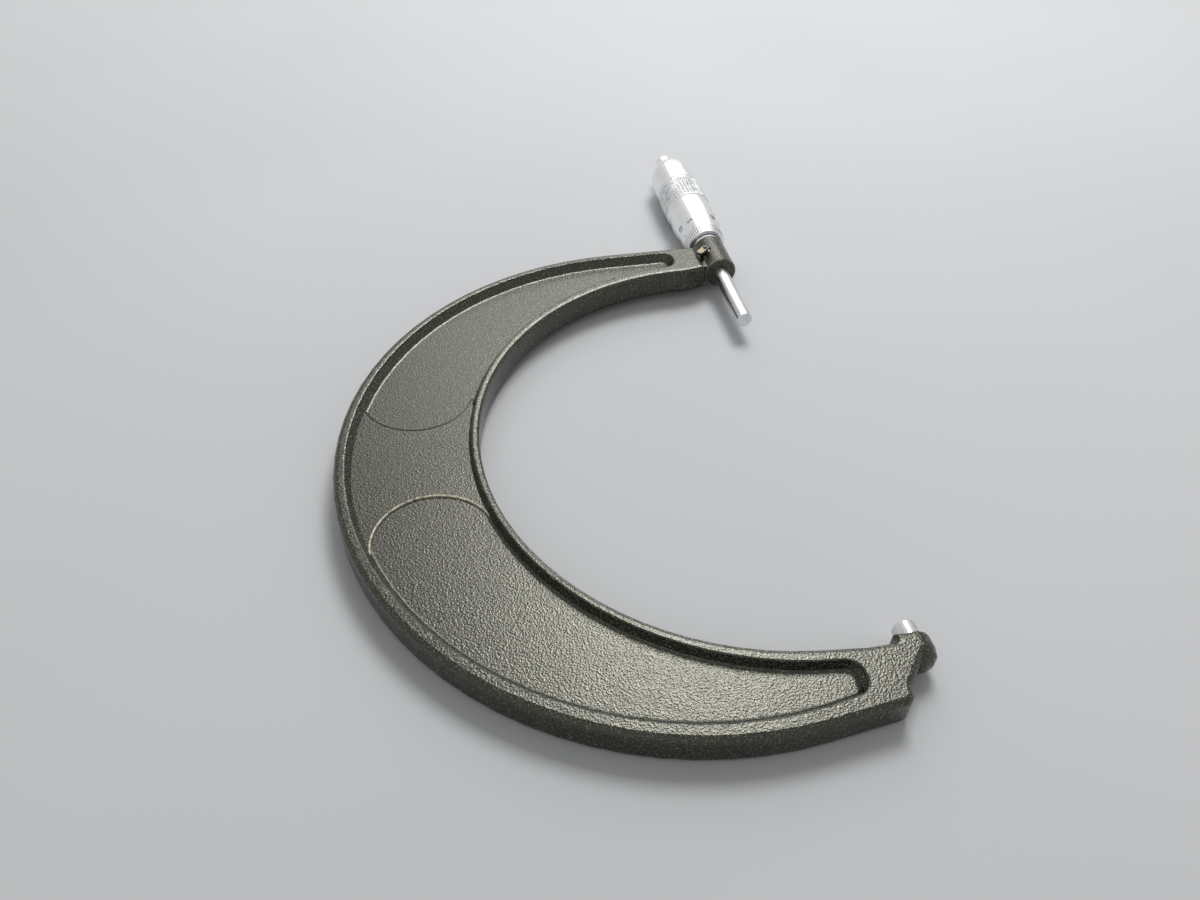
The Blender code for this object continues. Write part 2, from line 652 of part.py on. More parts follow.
def build_inner_sleeve(finish):
    """The sleeve that guides the spindle in front and holds its nut thread in the slit rear end."""
    thread_bore = THREAD_RADIUS + RUNNING_CLEARANCE
    relief = THREAD_RADIUS + THREAD_RELIEF
    guide = SPINDLE_RADIUS + RUNNING_CLEARANCE
    nut_start = INNER_SLEEVE_LENGTH - NUT_LAND
    profile = [
        (0, guide),
        (0, INNER_SLEEVE_RADIUS),
        (INNER_SLEEVE_LENGTH, INNER_SLEEVE_RADIUS),
        (INNER_SLEEVE_LENGTH, thread_bore),
        (nut_start, thread_bore),
        (nut_start, relief),
        (GUIDE_LAND, relief),
        (GUIDE_LAND, guide),
    ]
    bm = turned(profile, SMALL_ROUND_STEPS)
    sleeve = add_object("inner_sleeve", bm, finish, place=(INNER_SLEEVE_X, 0, 0))
    reach = INNER_SLEEVE_RADIUS + FIT_GAP
    for n in range(SLIT_COUNT):
        bm = block((2 * SLIT_LENGTH, reach, SLIT_WIDTH), (0, reach / 2, 0))
        slit = add_object("slit_tool", bm, None, place=(INNER_SLEEVE_END_X, 0, 0))
        slit.rotation_euler.x = n * tau / SLIT_COUNT
        boolean(sleeve, slit, "DIFFERENCE")


def build_outer_sleeve(finish):
    """The graduated sleeve, with the small hole that a spanner turns it by when zero is set."""
    bore = INNER_SLEEVE_RADIUS + FIT_GAP
    profile = tube(bore, OUTER_SLEEVE_RADIUS, OUTER_SLEEVE_LENGTH, OUTER_SLEEVE_CHAMFER)
    sleeve = add_object("graduated_sleeve", turned(profile), finish, place=(OUTER_SLEEVE_X, 0, 0))
    hole = add_object(
        "spanner_hole_tool",
        disc(SPANNER_HOLE_RADIUS, -OUTER_SLEEVE_RADIUS - FIT_GAP, 0, FINE_ROUND_STEPS),
        None,
        place=(OUTER_SLEEVE_X + SPANNER_HOLE_SETBACK, 0, 0),
    )
    boolean(sleeve, hole, "DIFFERENCE")


def build_adjusting_nut(finish):
    """The ring nut that closes the slit thread, with two slots for its spanner."""
    bore = INNER_SLEEVE_RADIUS + FIT_GAP
    end_x = INNER_SLEEVE_END_X - ADJUSTING_NUT_SETBACK
    profile = tube(bore, ADJUSTING_NUT_RADIUS, ADJUSTING_NUT_LENGTH, OUTER_SLEEVE_CHAMFER)
    bm = turned(profile, SMALL_ROUND_STEPS)
    nut = add_object("adjusting_nut", bm, finish, place=(end_x - ADJUSTING_NUT_LENGTH, 0, 0))
    size = (2 * NUT_SLOT_DEPTH, 2 * ADJUSTING_NUT_RADIUS + FIT_GAP, NUT_SLOT_WIDTH)
    slots = add_object("nut_slot_tool", block(size, (0, 0, 0)), None, place=(end_x, 0, 0))
    boolean(nut, slots, "DIFFERENCE")


def build_spindle(finish, parent):
    thread_start = THREAD_X - LEAST_READING
    taper_start = TAPER_X - LEAST_READING
    stud_end = STUD_END_X - LEAST_READING
    profile = [
        (0, 0),
        (0, SPINDLE_RADIUS - SPINDLE_CHAMFER),
        (SPINDLE_CHAMFER, SPINDLE_RADIUS),
        (thread_start, SPINDLE_RADIUS),
        (thread_start + THREAD_RELIEF, THREAD_RADIUS),
        (taper_start, THREAD_RADIUS),
        (taper_start, TAPER_START_RADIUS),
        (taper_start + TAPER_LENGTH, TAPER_END_RADIUS),
        (taper_start + TAPER_LENGTH, STUD_RADIUS),
        (stud_end, STUD_RADIUS),
        (stud_end, 0),
    ]
    bm = turned(profile, SMALL_ROUND_STEPS)
    add_object("spindle", bm, finish, parent, (LEAST_READING, 0, 0))


# Thimble group

def build_thimble(finish, parent):
    """The thimble: a graduated cone in front, a band for the fingers, and a web that sits on the taper."""
    bore = OUTER_SLEEVE_RADIUS + FIT_GAP + RUNNING_CLEARANCE
    groove = THIMBLE_CONE_LENGTH + THIMBLE_PLAIN_LENGTH
    knurl = groove + THIMBLE_GROOVE_LENGTH
    end = knurl + KNURL_LENGTH
    deep = THIMBLE_RADIUS - THIMBLE_GROOVE_DEPTH
    web_start = WEB_X - THIMBLE_X
    web_end = WEB_END_X - THIMBLE_X
    profile = [
        (0, bore),
        (0, THIMBLE_EDGE_RADIUS - THIMBLE_EDGE_CHAMFER),
        (THIMBLE_EDGE_CHAMFER, THIMBLE_EDGE_RADIUS),
        (THIMBLE_CONE_LENGTH, THIMBLE_RADIUS),
        (groove, THIMBLE_RADIUS),
        (groove + THIMBLE_GROOVE_SLOPE, deep),
        (knurl - THIMBLE_GROOVE_SLOPE, deep),
        (knurl, THIMBLE_RADIUS),
        (end - KNURL_CHAMFER, THIMBLE_RADIUS),
        (end, THIMBLE_RADIUS - KNURL_CHAMFER),
        (end, THIMBLE_RECESS_RADIUS),
        (web_end, THIMBLE_RECESS_RADIUS),
        (web_end, taper_radius(WEB_END_X) + RUNNING_CLEARANCE),
        (web_start, taper_radius(WEB_X) + RUNNING_CLEARANCE),
        (web_start, bore),
    ]
    add_object("thimble", turned(profile), finish, parent, (THIMBLE_X, 0, 0))


def taper_radius(x):
    """The radius of the spindle's taper at a place along the axis."""
    share = (x - TAPER_X) / TAPER_LENGTH
    return TAPER_START_RADIUS + (TAPER_END_RADIUS - TAPER_START_RADIUS) * share


def build_thimble_washer(finish, parent):
    profile = tube(STUD_RADIUS + FIT_GAP, THIMBLE_WASHER_RADIUS, THIMBLE_WASHER_THICKNESS)
    bm = turned(profile, SMALL_ROUND_STEPS)
    add_object("thimble_washer", bm, finish, parent, (WASHER_X, 0, 0))


def build_thimble_nut(finish, parent):
    """The hexagon nut that pulls the thimble onto the spindle's taper."""
    nut = add_object(
        "thimble_nut",
        turned(rod(THIMBLE_NUT_RADIUS, THIMBLE_NUT_LENGTH), 6),
        finish,
        parent,
        (NUT_X, 0, 0),
        smooth=False,
    )
    hole = rod(STUD_RADIUS + FIT_GAP, 2 * THIMBLE_NUT_LENGTH)
    tool = add_object(
        "nut_hole_tool",
        turned(hole, SMALL_ROUND_STEPS),
        None,
        place=(NUT_X - THIMBLE_NUT_LENGTH / 2, 0, 0),
    )
    boolean(nut, tool, "DIFFERENCE")


def cap_profile():
    """The cap's section: a spigot in the thimble, a neck, a straight body and a domed end."""
    spigot = THIMBLE_RECESS_RADIUS - FIT_GAP
    neck = CAP_X - SPIGOT_X
    body = neck + CAP_NECK_LENGTH
    dome = body + CAP_STRAIGHT_LENGTH
    end = CAP_END_X - SPIGOT_X
    floor = CAP_FLOOR_X - SPIGOT_X
    hole = KNOB_SHANK_RADIUS + FIT_GAP
    steps = CORNER_STEPS + 2
    outer = [
        (
            dome + CAP_DOME_LENGTH * n / steps,
            CAP_RADIUS - (CAP_RADIUS - CAP_END_RADIUS) * (n / steps) ** CAP_DOME_POWER,
        )
        for n in range(steps + 1)
    ]
    return [
        (0, CAP_BORE_RADIUS),
        (0, spigot),
        (neck, spigot),
        (neck, CAP_NECK_RADIUS),
        (body, CAP_NECK_RADIUS),
        (body, CAP_RADIUS - CAP_CHAMFER),
        (body + CAP_CHAMFER, CAP_RADIUS),
        *outer,
        (end, hole),
        (floor, hole),
        (floor, CAP_BORE_RADIUS),
    ]


def build_cap(finish, parent):
    cap = add_object("thimble_cap", turned(cap_profile()), finish, parent, (SPIGOT_X, 0, 0))
    width = LUG_WIDTH + 2 * RUNNING_CLEARANCE
    start = SPIGOT_X - FIT_GAP
    length = WHEEL_X - start
    for n in range(LUG_COUNT // 2):
        bm = block((length, 2 * CAP_SLOT_RADIUS, width), (length / 2, 0, 0))
        slot = add_object("cap_slot_tool", bm, None, place=(start, 0, 0))
        slot.rotation_euler.x = n * tau / LUG_COUNT
        boolean(cap, slot, "DIFFERENCE")


def toothed_disc(radius, thickness):
    """A disc round X from 0 to its thickness, with a ring of saw teeth on the far face."""
    bm = bmesh.new()
    heights = (TOOTH_ROOT, TOOTH_HEIGHT)
    inner = CLUTCH_HOLE_RADIUS + FIT_GAP
    pitch = tau / RATCHET_TEETH
    angles = [pitch * (n + share) for n in range(RATCHET_TEETH) for share in (0, TOOTH_STEEP_SHARE)]

    def ring(size, height):
        return [
            bm.verts.new((height(n), size * cos(turn), size * sin(turn)))
            for n, turn in enumerate(angles)
        ]

    rings = [
        ring(radius, lambda n: 0),
        ring(radius, lambda n: thickness + heights[n % 2]),
        ring(inner, lambda n: thickness + heights[n % 2]),
        ring(inner, lambda n: thickness),
    ]
    bm.faces.new(rings[0])
    bm.faces.new(rings[-1])
    for lower, upper in zip(rings, rings[1:]):
        for n, corner in enumerate(lower):
            bm.faces.new((lower[n - 1], corner, upper[n], upper[n - 1]))
    bmesh.ops.triangulate(bm, faces=[face for face in bm.faces if len(face.verts) == 4])
    return bm


def build_ratchet_clutch(finish, parent):
    """The toothed ring that slides in the cap's slots and can't turn in it."""
    bm = toothed_disc(CLUTCH_RADIUS, CLUTCH_THICKNESS)
    clutch = add_object("ratchet_clutch", bm, finish, parent, (CLUTCH_X, 0, 0), smooth=False)
    thickness = CLUTCH_THICKNESS - FIT_GAP
    reach = CAP_SLOT_RADIUS - FIT_GAP
    for n in range(LUG_COUNT // 2):
        bar = block((thickness, 2 * reach, LUG_WIDTH), (thickness / 2 + FIT_GAP / 2, 0, 0))
        tool = add_object("lug_tool", bar, None, place=(CLUTCH_X, 0, 0))
        tool.rotation_euler.x = n * tau / LUG_COUNT
        boolean(clutch, tool, "UNION")
    hole = rod(CLUTCH_HOLE_RADIUS, 3 * CLUTCH_THICKNESS)
    tool = add_object(
        "clutch_hole_tool",
        turned(hole, SMALL_ROUND_STEPS),
        None,
        place=(CLUTCH_X - CLUTCH_THICKNESS, 0, 0),
    )
    boolean(clutch, tool, "DIFFERENCE")


def build_ratchet_spring(finish, parent):
    """A coil spring between the thimble's nut and the clutch."""
    start = NUT_X + THIMBLE_NUT_LENGTH + FIT_GAP + SPRING_WIRE_RADIUS
    end = CLUTCH_X - FIT_GAP - SPRING_WIRE_RADIUS
    steps = 12 * SPRING_TURNS
    curve = bpy.data.curves.new("ratchet_spring", "CURVE")
    curve.dimensions = "3D"
    curve.bevel_depth = SPRING_WIRE_RADIUS
    curve.bevel_resolution = 1
    curve.use_fill_caps = True
    spline = curve.splines.new("POLY")
    spline.points.add(steps)
    for n, point in enumerate(spline.points):
        turn = n * tau * SPRING_TURNS / steps
        x = (end - start) * n / steps
        point.co = (x, SPRING_RADIUS * cos(turn), SPRING_RADIUS * sin(turn), 1)
    curve.materials.append(finish)
    spring = bpy.data.objects.new("ratchet_spring", curve)
    bpy.context.collection.objects.link(spring)
    spring.parent = parent
    spring.location = (start, 0, 0)


# Ratchet knob group

def double_d(radius, half_flat, length):
    """A bmesh of a bar along X with two flats, standing from 0 to its length."""
    limit = acos(half_flat / radius)
    steps = SMALL_ROUND_STEPS // 2
    right = arc((0, 0), radius, limit - pi / 2, pi / 2 - limit, steps)
    left = arc((0, 0), radius, limit + pi / 2, 3 * pi / 2 - limit, steps)
    bm = prism(right + left, 0, length)
    bmesh.ops.rotate(bm, verts=bm.verts, cent=(0, 0, 0), matrix=Matrix.Rotation(pi / 2, 3, "Y"))
    return bm


def build_ratchet_wheel(finish, parent):
    """The toothed wheel fixed on the knob's flats, its teeth facing those of the clutch."""
    bm = toothed_disc(WHEEL_RADIUS, WHEEL_THICKNESS)
    wheel = add_object("ratchet_wheel", bm, finish, parent, (WHEEL_END_X, 0, 0), smooth=False)
    wheel.rotation_euler.z = pi
    hole = double_d(
        KNOB_SHANK_RADIUS + RUNNING_CLEARANCE,
        KNOB_FLAT_HALF_WIDTH + RUNNING_CLEARANCE,
        3 * WHEEL_THICKNESS,
    )
    place = (WHEEL_X - WHEEL_THICKNESS, 0, 0)
    boolean(wheel, add_object("wheel_hole_tool", hole, None, place=place), "DIFFERENCE")


def build_ratchet_knob(finish, parent):
    """The knob, with a shank that runs in the cap's end and carries the wheel on two flats."""
    shank = KNOB_X - WHEEL_X - FIT_GAP
    hole = RATCHET_SCREW_RADIUS + RUNNING_CLEARANCE
    hole_end = FIT_GAP + RATCHET_SCREW_LENGTH - shank
    turns = [n * pi / 2 / CORNER_STEPS for n in range(CORNER_STEPS)]
    dome_start = KNOB_LENGTH - KNOB_DOME_LENGTH
    dome = [(dome_start + KNOB_DOME_LENGTH * sin(t), KNOB_RADIUS * cos(t)) for t in turns]
    profile = [
        (hole_end, 0),
        (hole_end, hole),
        (-shank, hole),
        (-shank, KNOB_SHANK_RADIUS),
        (0, KNOB_SHANK_RADIUS),
        (0, KNOB_NECK_RADIUS),
        (KNOB_NECK_LENGTH, KNOB_NECK_RADIUS),
        (KNOB_NECK_LENGTH + FIT_GAP, KNOB_RADIUS),
        *dome,
        (KNOB_LENGTH, 0),
    ]
    bm = turned(profile, SMALL_ROUND_STEPS)
    knob = add_object("ratchet_knob", bm, finish, parent, (KNOB_X, 0, 0))
    flats = KNOB_SHANK_RADIUS - KNOB_FLAT_HALF_WIDTH + FIT_GAP
    for side in (1, -1):
        middle = side * (KNOB_FLAT_HALF_WIDTH + flats / 2)
        bm = block((2 * WHEEL_THICKNESS, flats, 2 * KNOB_SHANK_RADIUS), (0, middle, 0))
        tool = add_object("flat_tool", bm, None, place=(WHEEL_X, 0, 0))
        boolean(knob, tool, "DIFFERENCE")


def slotted_screw(name, radius, length, head_radius, head_height, finish):
    """A screw that stands on Z, its head above Z = 0 with a straight slot across it."""
    shank = disc(radius, -length, head_height / 2, FINE_ROUND_STEPS)
    screw = add_object(name, disc(head_radius, 0, head_height), finish)
    boolean(screw, add_object(name + "_shank_tool", shank, None, screw), "UNION")
    slot_length = 2 * (head_radius + FIT_GAP)
    slot = block((slot_length, SCREW_SLOT_WIDTH, head_height), (0, 0, head_height))
    boolean(screw, add_object(name + "_slot_tool", slot, None, screw), "DIFFERENCE")
    return screw


def build_ratchet_screw(finish, parent):
    screw = slotted_screw(
        "ratchet_screw",
        RATCHET_SCREW_RADIUS,
        RATCHET_SCREW_LENGTH,
        RATCHET_SCREW_HEAD_RADIUS,
        RATCHET_SCREW_HEAD_HEIGHT,
        finish,
    )
    screw.parent = parent
    screw.location = (WHEEL_X - FIT_GAP, 0, 0)
    screw.rotation_euler.y = -pi / 2


# Spindle lock

def build_lock_washer(finish):
    height = LOCK_WASHER_THICKNESS
    washer = add_object(
        "lock_washer",
        disc(LOCK_WASHER_RADIUS, 0, height),
        finish,
        place=(LOCK_X, LOCK_Y, LOCK_WASHER_Z),
    )
    hole = disc(LOCK_PIN_RADIUS + TOOTH_CLEARANCE, -height, 2 * height)
    tool = add_object("washer_hole_tool", hole, None, washer)
    boolean(washer, tool, "DIFFERENCE")


def build_lock_pin(finish, parent):
    """The cam pin: its side is hollowed where the spindle passes, so it grips when it is turned."""
    shoulder = LOCK_LEVER_Z - RUNNING_CLEARANCE
    tang_top = LOCK_LEVER_Z + LOCK_LEVER_THICKNESS - TOOTH_CLEARANCE
    pin = add_object("lock_pin", disc(LOCK_PIN_RADIUS, -LOCK_PIN_DEPTH, shoulder), finish, parent)
    tang_height = tang_top - shoulder + LOCK_PIN_RADIUS
    side = LOCK_TANG_SIDE
    tang = block((side, side, tang_height), (0, 0, tang_top - tang_height / 2))
    tang_object = add_object("tang_tool", tang, None, pin)
    boolean(pin, tang_object, "UNION")
    hollow = SPINDLE_RADIUS + RUNNING_CLEARANCE + LOCK_CAM_RELIEF
    bar = rod(hollow, 6 * LOCK_PIN_RADIUS)
    place = (-3 * LOCK_PIN_RADIUS, -LOCK_Y, 0)
    boolean(pin, add_object("cam_tool", turned(bar), None, pin, place), "DIFFERENCE")
    hole_radius = LOCK_SCREW_RADIUS + RUNNING_CLEARANCE
    hole = disc(hole_radius, tang_top - LOCK_SCREW_LENGTH, tang_top + side, FINE_ROUND_STEPS)
    boolean(pin, add_object("pin_hole_tool", hole, None, pin), "DIFFERENCE")


def build_lock_lever(finish, parent):
    """The lever: a thumb tab that grows from a round hub with a square hole."""
    lean = asin((LOCK_LEVER_HUB_RADIUS - LOCK_LEVER_TIP_RADIUS) / LOCK_LEVER_LENGTH)
    steps = SMALL_ROUND_STEPS // 2
    outline = [
        *arc((0, 0), LOCK_LEVER_HUB_RADIUS, pi / 2 - lean, 3 * pi / 2 + lean, steps),
        *arc((LOCK_LEVER_LENGTH, 0), LOCK_LEVER_TIP_RADIUS, lean - pi / 2, pi / 2 - lean, steps),
    ]
    top = LOCK_LEVER_THICKNESS
    levels = [(0, 0.0), (top - FIT_GAP, 0.0), (top, FIT_GAP)]
    rings = [inset(outline, distance) for _, distance in levels]
    bm = stacked(rings, [z for z, _ in levels])
    lever = add_object("lock_lever", bm, finish, parent, (0, 0, LOCK_LEVER_Z))
    lever.rotation_euler.z = LOCK_LEVER_ANGLE
    side = LOCK_TANG_SIDE + 2 * RUNNING_CLEARANCE
    hole = block((side, side, 3 * top), (0, 0, top / 2))
    tool = add_object("tang_hole_tool", hole, None, parent, (0, 0, LOCK_LEVER_Z))
    boolean(lever, tool, "DIFFERENCE")


def build_lock_screw(finish, parent):
    screw = slotted_screw(
        "lock_screw",
        LOCK_SCREW_RADIUS,
        LOCK_SCREW_LENGTH - FIT_GAP,
        LOCK_SCREW_HEAD_RADIUS,
        LOCK_SCREW_HEAD_HEIGHT,
        finish,
    )
    screw.parent = parent
    screw.location = (0, 0, LOCK_LEVER_Z + LOCK_LEVER_THICKNESS + RUNNING_CLEARANCE)


def build_micrometer():
    clear_scene()
    enamel = material("black_wrinkle_enamel", (0.03, 0.03, 0.028), 0.0, 0.5)
    ground = material("ground_steel", (0.72, 0.73, 0.75), 1.0, 0.22)
    chrome = material("satin_chrome", (0.86, 0.86, 0.87), 1.0, 0.35)
    steel = material("plain_steel", (0.52, 0.53, 0.55), 1.0, 0.4)
    bronze = material("bronzed_steel", (0.46, 0.40, 0.30), 1.0, 0.4)

    build_frame(enamel)
    build_anvil(ground)
    build_inner_sleeve(steel)
    build_outer_sleeve(chrome)
    build_adjusting_nut(steel)
    build_lock_washer(steel)

    slide = empty("spindle_slide")
    build_spindle(ground, slide)

    turn = empty("thimble_turn", slide)
    build_thimble(chrome, turn)
    build_thimble_washer(steel, turn)
    build_thimble_nut(steel, turn)
    build_cap(chrome, turn)
    build_ratchet_clutch(steel, turn)
    build_ratchet_spring(steel, turn)

    knob_turn = empty("knob_turn", turn)
    build_ratchet_knob(chrome, knob_turn)
    build_ratchet_wheel(steel, knob_turn)
    build_ratchet_screw(steel, knob_turn)

    lock_turn = empty("lock_turn", place=(LOCK_X, LOCK_Y, 0))
    build_lock_pin(steel, lock_turn)
    build_lock_lever(bronze, lock_turn)
    build_lock_screw(steel, lock_turn)


build_micrometer()
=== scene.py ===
# %% [markdown]
# # An outside micrometer, finished and lit
# The solids of the micrometer come ready made: a cast C-shaped frame, an anvil, a spindle and the
# thimble with its ratchet. This notebook gives them their finishes, adds what is engraved or rolled into
# the steel, and sets up a small photo table. Everything is in metres, +X runs along the measuring axis.

import json
from math import acos, atan2, cos, pi, radians, sin, tau

import bmesh
import bpy
import numpy as np
from mathutils import Matrix, Vector


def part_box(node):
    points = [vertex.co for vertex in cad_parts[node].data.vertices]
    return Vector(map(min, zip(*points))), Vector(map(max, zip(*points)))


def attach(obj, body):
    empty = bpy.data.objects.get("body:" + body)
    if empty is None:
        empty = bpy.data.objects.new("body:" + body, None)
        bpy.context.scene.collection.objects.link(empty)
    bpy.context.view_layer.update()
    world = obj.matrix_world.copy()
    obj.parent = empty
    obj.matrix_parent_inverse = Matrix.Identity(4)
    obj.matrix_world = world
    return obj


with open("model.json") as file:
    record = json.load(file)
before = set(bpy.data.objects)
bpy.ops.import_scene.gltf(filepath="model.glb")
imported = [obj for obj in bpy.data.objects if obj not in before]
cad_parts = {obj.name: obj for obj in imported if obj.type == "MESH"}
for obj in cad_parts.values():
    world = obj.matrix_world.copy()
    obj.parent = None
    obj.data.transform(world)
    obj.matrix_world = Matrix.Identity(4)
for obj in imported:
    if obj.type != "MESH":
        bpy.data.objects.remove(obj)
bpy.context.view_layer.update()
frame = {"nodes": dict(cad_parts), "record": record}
nodes = frame["nodes"]

# %% [markdown]
# ## Camera
# The photograph looks down on the micrometer from the anvil's side, with the thimble at the far end. A
# camera is a place and three directions. One could aim it with a Track To constraint, but a matrix from
# pitch, yaw and roll gives the exact same framing each time.

# %% Camera
CAMERA_PLACE = Vector((-0.15076, 0.12546, 0.23380))
CAMERA_PITCH = radians(43.696)
CAMERA_YAW = radians(-12.880)
CAMERA_ROLL = radians(1.794)
LENS_MM = 30
SENSOR_MM = 36
NEAREST_SEEN = 0.01

ahead = Vector(
    (cos(CAMERA_YAW) * cos(CAMERA_PITCH), sin(CAMERA_YAW) * cos(CAMERA_PITCH), -sin(CAMERA_PITCH))
)
level_right = Vector((sin(CAMERA_YAW), -cos(CAMERA_YAW), 0))
level_up = level_right.cross(ahead)
right = cos(CAMERA_ROLL) * level_right + sin(CAMERA_ROLL) * level_up
up = -sin(CAMERA_ROLL) * level_right + cos(CAMERA_ROLL) * level_up
camera_turn = Matrix((right, up, -ahead)).transposed().to_4x4()
camera = bpy.data.objects.new("camera", bpy.data.cameras.new("camera"))
bpy.context.collection.objects.link(camera)
camera.matrix_world = Matrix.Translation(CAMERA_PLACE) @ camera_turn
camera.data.lens = LENS_MM
camera.data.sensor_width = SENSOR_MM
camera.data.clip_start = NEAREST_SEEN
bpy.context.scene.camera = camera
print("camera above the frame's middle plane by", round(CAMERA_PLACE.z, 3), "m")

# %% [markdown]
# ## The table
# A micrometer that is laid down doesn't lie flat: the thimble is thicker than the frame, so it rests on
# the thimble and on two spots of the frame's rim. The table is tilted to meet these three points. Its
# plane goes through the far end of the thimble's lowest line. Of all the pairs of rim points that keep
# every other point above the plane, the pair that carries the weight is the one that lets the middle of
# the frame sink lowest. Pairs that lie in line with the thimble's point give no plane and are left out.
# Each third rim point is enough, because they lie close together.

# %% Find the resting plane
LEAST_AREA = 1e-6  # square metres between two points and the thimble's point
STILL_ABOVE = -1e-7  # a point this little below the plane still rests on it
LOWEST_BAND = 1e-5
RIM_HEIGHT = -0.0050
RIM_STRIDE = 3
PLACE_DECIMALS = 6


def points_of(name):
    """The corners of a solid as an array of places."""
    mesh = nodes[name].data
    places = np.empty(3 * len(mesh.vertices), np.float32)
    mesh.vertices.foreach_get("co", places)
    return places.reshape(-1, 3).astype(float)


def resting_plane(foot, rim, middle):
    """(height at 0, slope along X, slope along Y) of the plane below the rim and through the foot."""
    steps = rim - foot
    first, second = np.triu_indices(len(steps), 1)
    a, b = steps[first], steps[second]
    area = a[:, 0] * b[:, 1] - a[:, 1] * b[:, 0]
    usable = np.abs(area) > LEAST_AREA
    a, b, area = a[usable], b[usable], area[usable]
    slope_x = (a[:, 2] * b[:, 1] - b[:, 2] * a[:, 1]) / area
    slope_y = (a[:, 0] * b[:, 2] - b[:, 0] * a[:, 2]) / area
    above = steps[:, 2][None] - np.outer(slope_x, steps[:, 0]) - np.outer(slope_y, steps[:, 1])
    holds = above.min(1) > STILL_ABOVE
    reach = middle - foot
    height = slope_x * reach[0] + slope_y * reach[1]
    best = np.flatnonzero(holds)[np.argmax(height[holds])]
    start = foot[2] - slope_x[best] * foot[0] - slope_y[best] * foot[1]
    return start, slope_x[best], slope_y[best]


thimble_points = points_of("thimble")
lowest_line = thimble_points[thimble_points[:, 2] < thimble_points[:, 2].min() + LOWEST_BAND]
thimble_foot = max(lowest_line, key=lambda place: place[0])
frame_points = np.unique(points_of("frame").round(PLACE_DECIMALS), axis=0)
rim_points = frame_points[frame_points[:, 2] < RIM_HEIGHT]
table_start, table_slope_x, table_slope_y = resting_plane(
    thimble_foot, rim_points[::RIM_STRIDE], frame_points.mean(0)
)
print("table slopes:", round(table_slope_x, 4), round(table_slope_y, 4))

# %% [markdown]
# The table is one large pale sheet. A plane of four corners is enough, because it is plain and far
# larger than what the camera sees. It lies a hair below the three points, so that nothing cuts into it.

# %% Lay the table
TABLE_REACH = 3.0
TABLE_GAP = 0.00002

table_corners = []
for along, across in ((-1, -1), (1, -1), (1, 1), (-1, 1)):
    x, y = along * TABLE_REACH, across * TABLE_REACH
    table_corners.append((x, y, table_start + table_slope_x * x + table_slope_y * y - TABLE_GAP))
table_mesh = bpy.data.meshes.new("table")
table_mesh.from_pydata(table_corners, [], [(0, 1, 2, 3)])
table = bpy.data.objects.new("table", table_mesh)
bpy.context.collection.objects.link(table)
print("table below the measuring axis by", round(-1000 * table_start, 1), "mm")

# %% [markdown]
# ## Light
# In the photograph the light comes from high up behind the thimble, so the flats of the frame shine,
# the walls that face the viewer are dark, and the steel has a white streak on top. One large soft lamp
# behind and above does that, and a wider, lower one lets the far arm of the frame shine too. A weak one
# at the viewer's side keeps the dark walls readable, and the world fills in evenly. Sun lamps would be
# simpler, but their hard shadows don't suit a small product.

# %% Lamps
LIT_PLACE = Vector((0.11, 0.05, 0.0))


def soft_lamp(name, place, width, power):
    """A square area lamp that faces the micrometer."""
    lamp = bpy.data.objects.new(name, bpy.data.lights.new(name, "AREA"))
    lamp.data.shape = "SQUARE"
    lamp.data.size = width
    lamp.data.energy = power
    lamp.location = place
    lamp.rotation_mode = "QUATERNION"
    lamp.rotation_quaternion = (LIT_PLACE - Vector(place)).to_track_quat("-Z", "Y")
    bpy.context.collection.objects.link(lamp)
    print(name, "at", round(lamp.location.z, 2), "m, watts:", power)


soft_lamp("window_light", place=(0.74, -0.27, 1.00), width=0.46, power=8.2)
soft_lamp("ceiling_light", place=(1.25, -0.16, 0.86), width=0.90, power=4.8)
soft_lamp("fill_light", place=(-0.60, 0.50, 0.70), width=0.80, power=0.5)

# %% [markdown]
# The world has two levels. It lights the micrometer at the lower one. The camera and the mirror-like
# steel see the higher one, so that the room looks pale without more light falling on the object.

# %% World
WORLD_FILL = 0.36
WORLD_SEEN = 0.62

world = bpy.data.worlds.new("pale room")
bpy.context.scene.world = world
world.use_nodes = True
room = world.node_tree
room_light = room.nodes["Background"]
room_light.inputs["Color"].default_value = (1.0, 1.0, 1.0, 1.0)
ray = room.nodes.new("ShaderNodeLightPath")
seen = room.nodes.new("ShaderNodeMath")
seen.operation = "MAXIMUM"
room.links.new(ray.outputs["Is Camera Ray"], seen.inputs[0])
room.links.new(ray.outputs["Is Glossy Ray"], seen.inputs[1])
level = room.nodes.new("ShaderNodeMix")
level.inputs["A"].default_value = WORLD_FILL
level.inputs["B"].default_value = WORLD_SEEN
room.links.new(seen.outputs[0], level.inputs["Factor"])
room.links.new(level.outputs["Result"], room_light.inputs["Strength"])
bpy.context.scene.view_settings.view_transform = "Standard"
print("world gives", WORLD_FILL, "and shows", WORLD_SEEN)

# %% [markdown]
# ## Helpers for the finishes
# Every finish is a small network of texture nodes before a Principled shader. Adding nodes by hand in
# code is wordy, so a few helpers keep the recipes short. The first three start a material, add any node
# with its inputs, and reckon with two numbers.

# %% Helpers for nodes
def start_finish(name, metallic, roughness):
    """A new material with its tree and its Principled shader."""
    finish = bpy.data.materials.new(name)
    finish.use_nodes = True
    shader = finish.node_tree.nodes["Principled BSDF"]
    shader.inputs["Metallic"].default_value = metallic
    shader.inputs["Roughness"].default_value = roughness
    return finish, finish.node_tree, shader


def add_node(tree, kind, values, **settings):
    """A node with its settings, and inputs that are plain values or other nodes' outputs."""
    made = tree.nodes.new(kind)
    for name, value in settings.items():
        setattr(made, name, value)
    for name, value in values.items():
        if isinstance(value, bpy.types.NodeSocket):
            tree.links.new(value, made.inputs[name])
        else:
            made.inputs[name].default_value = value
    return made


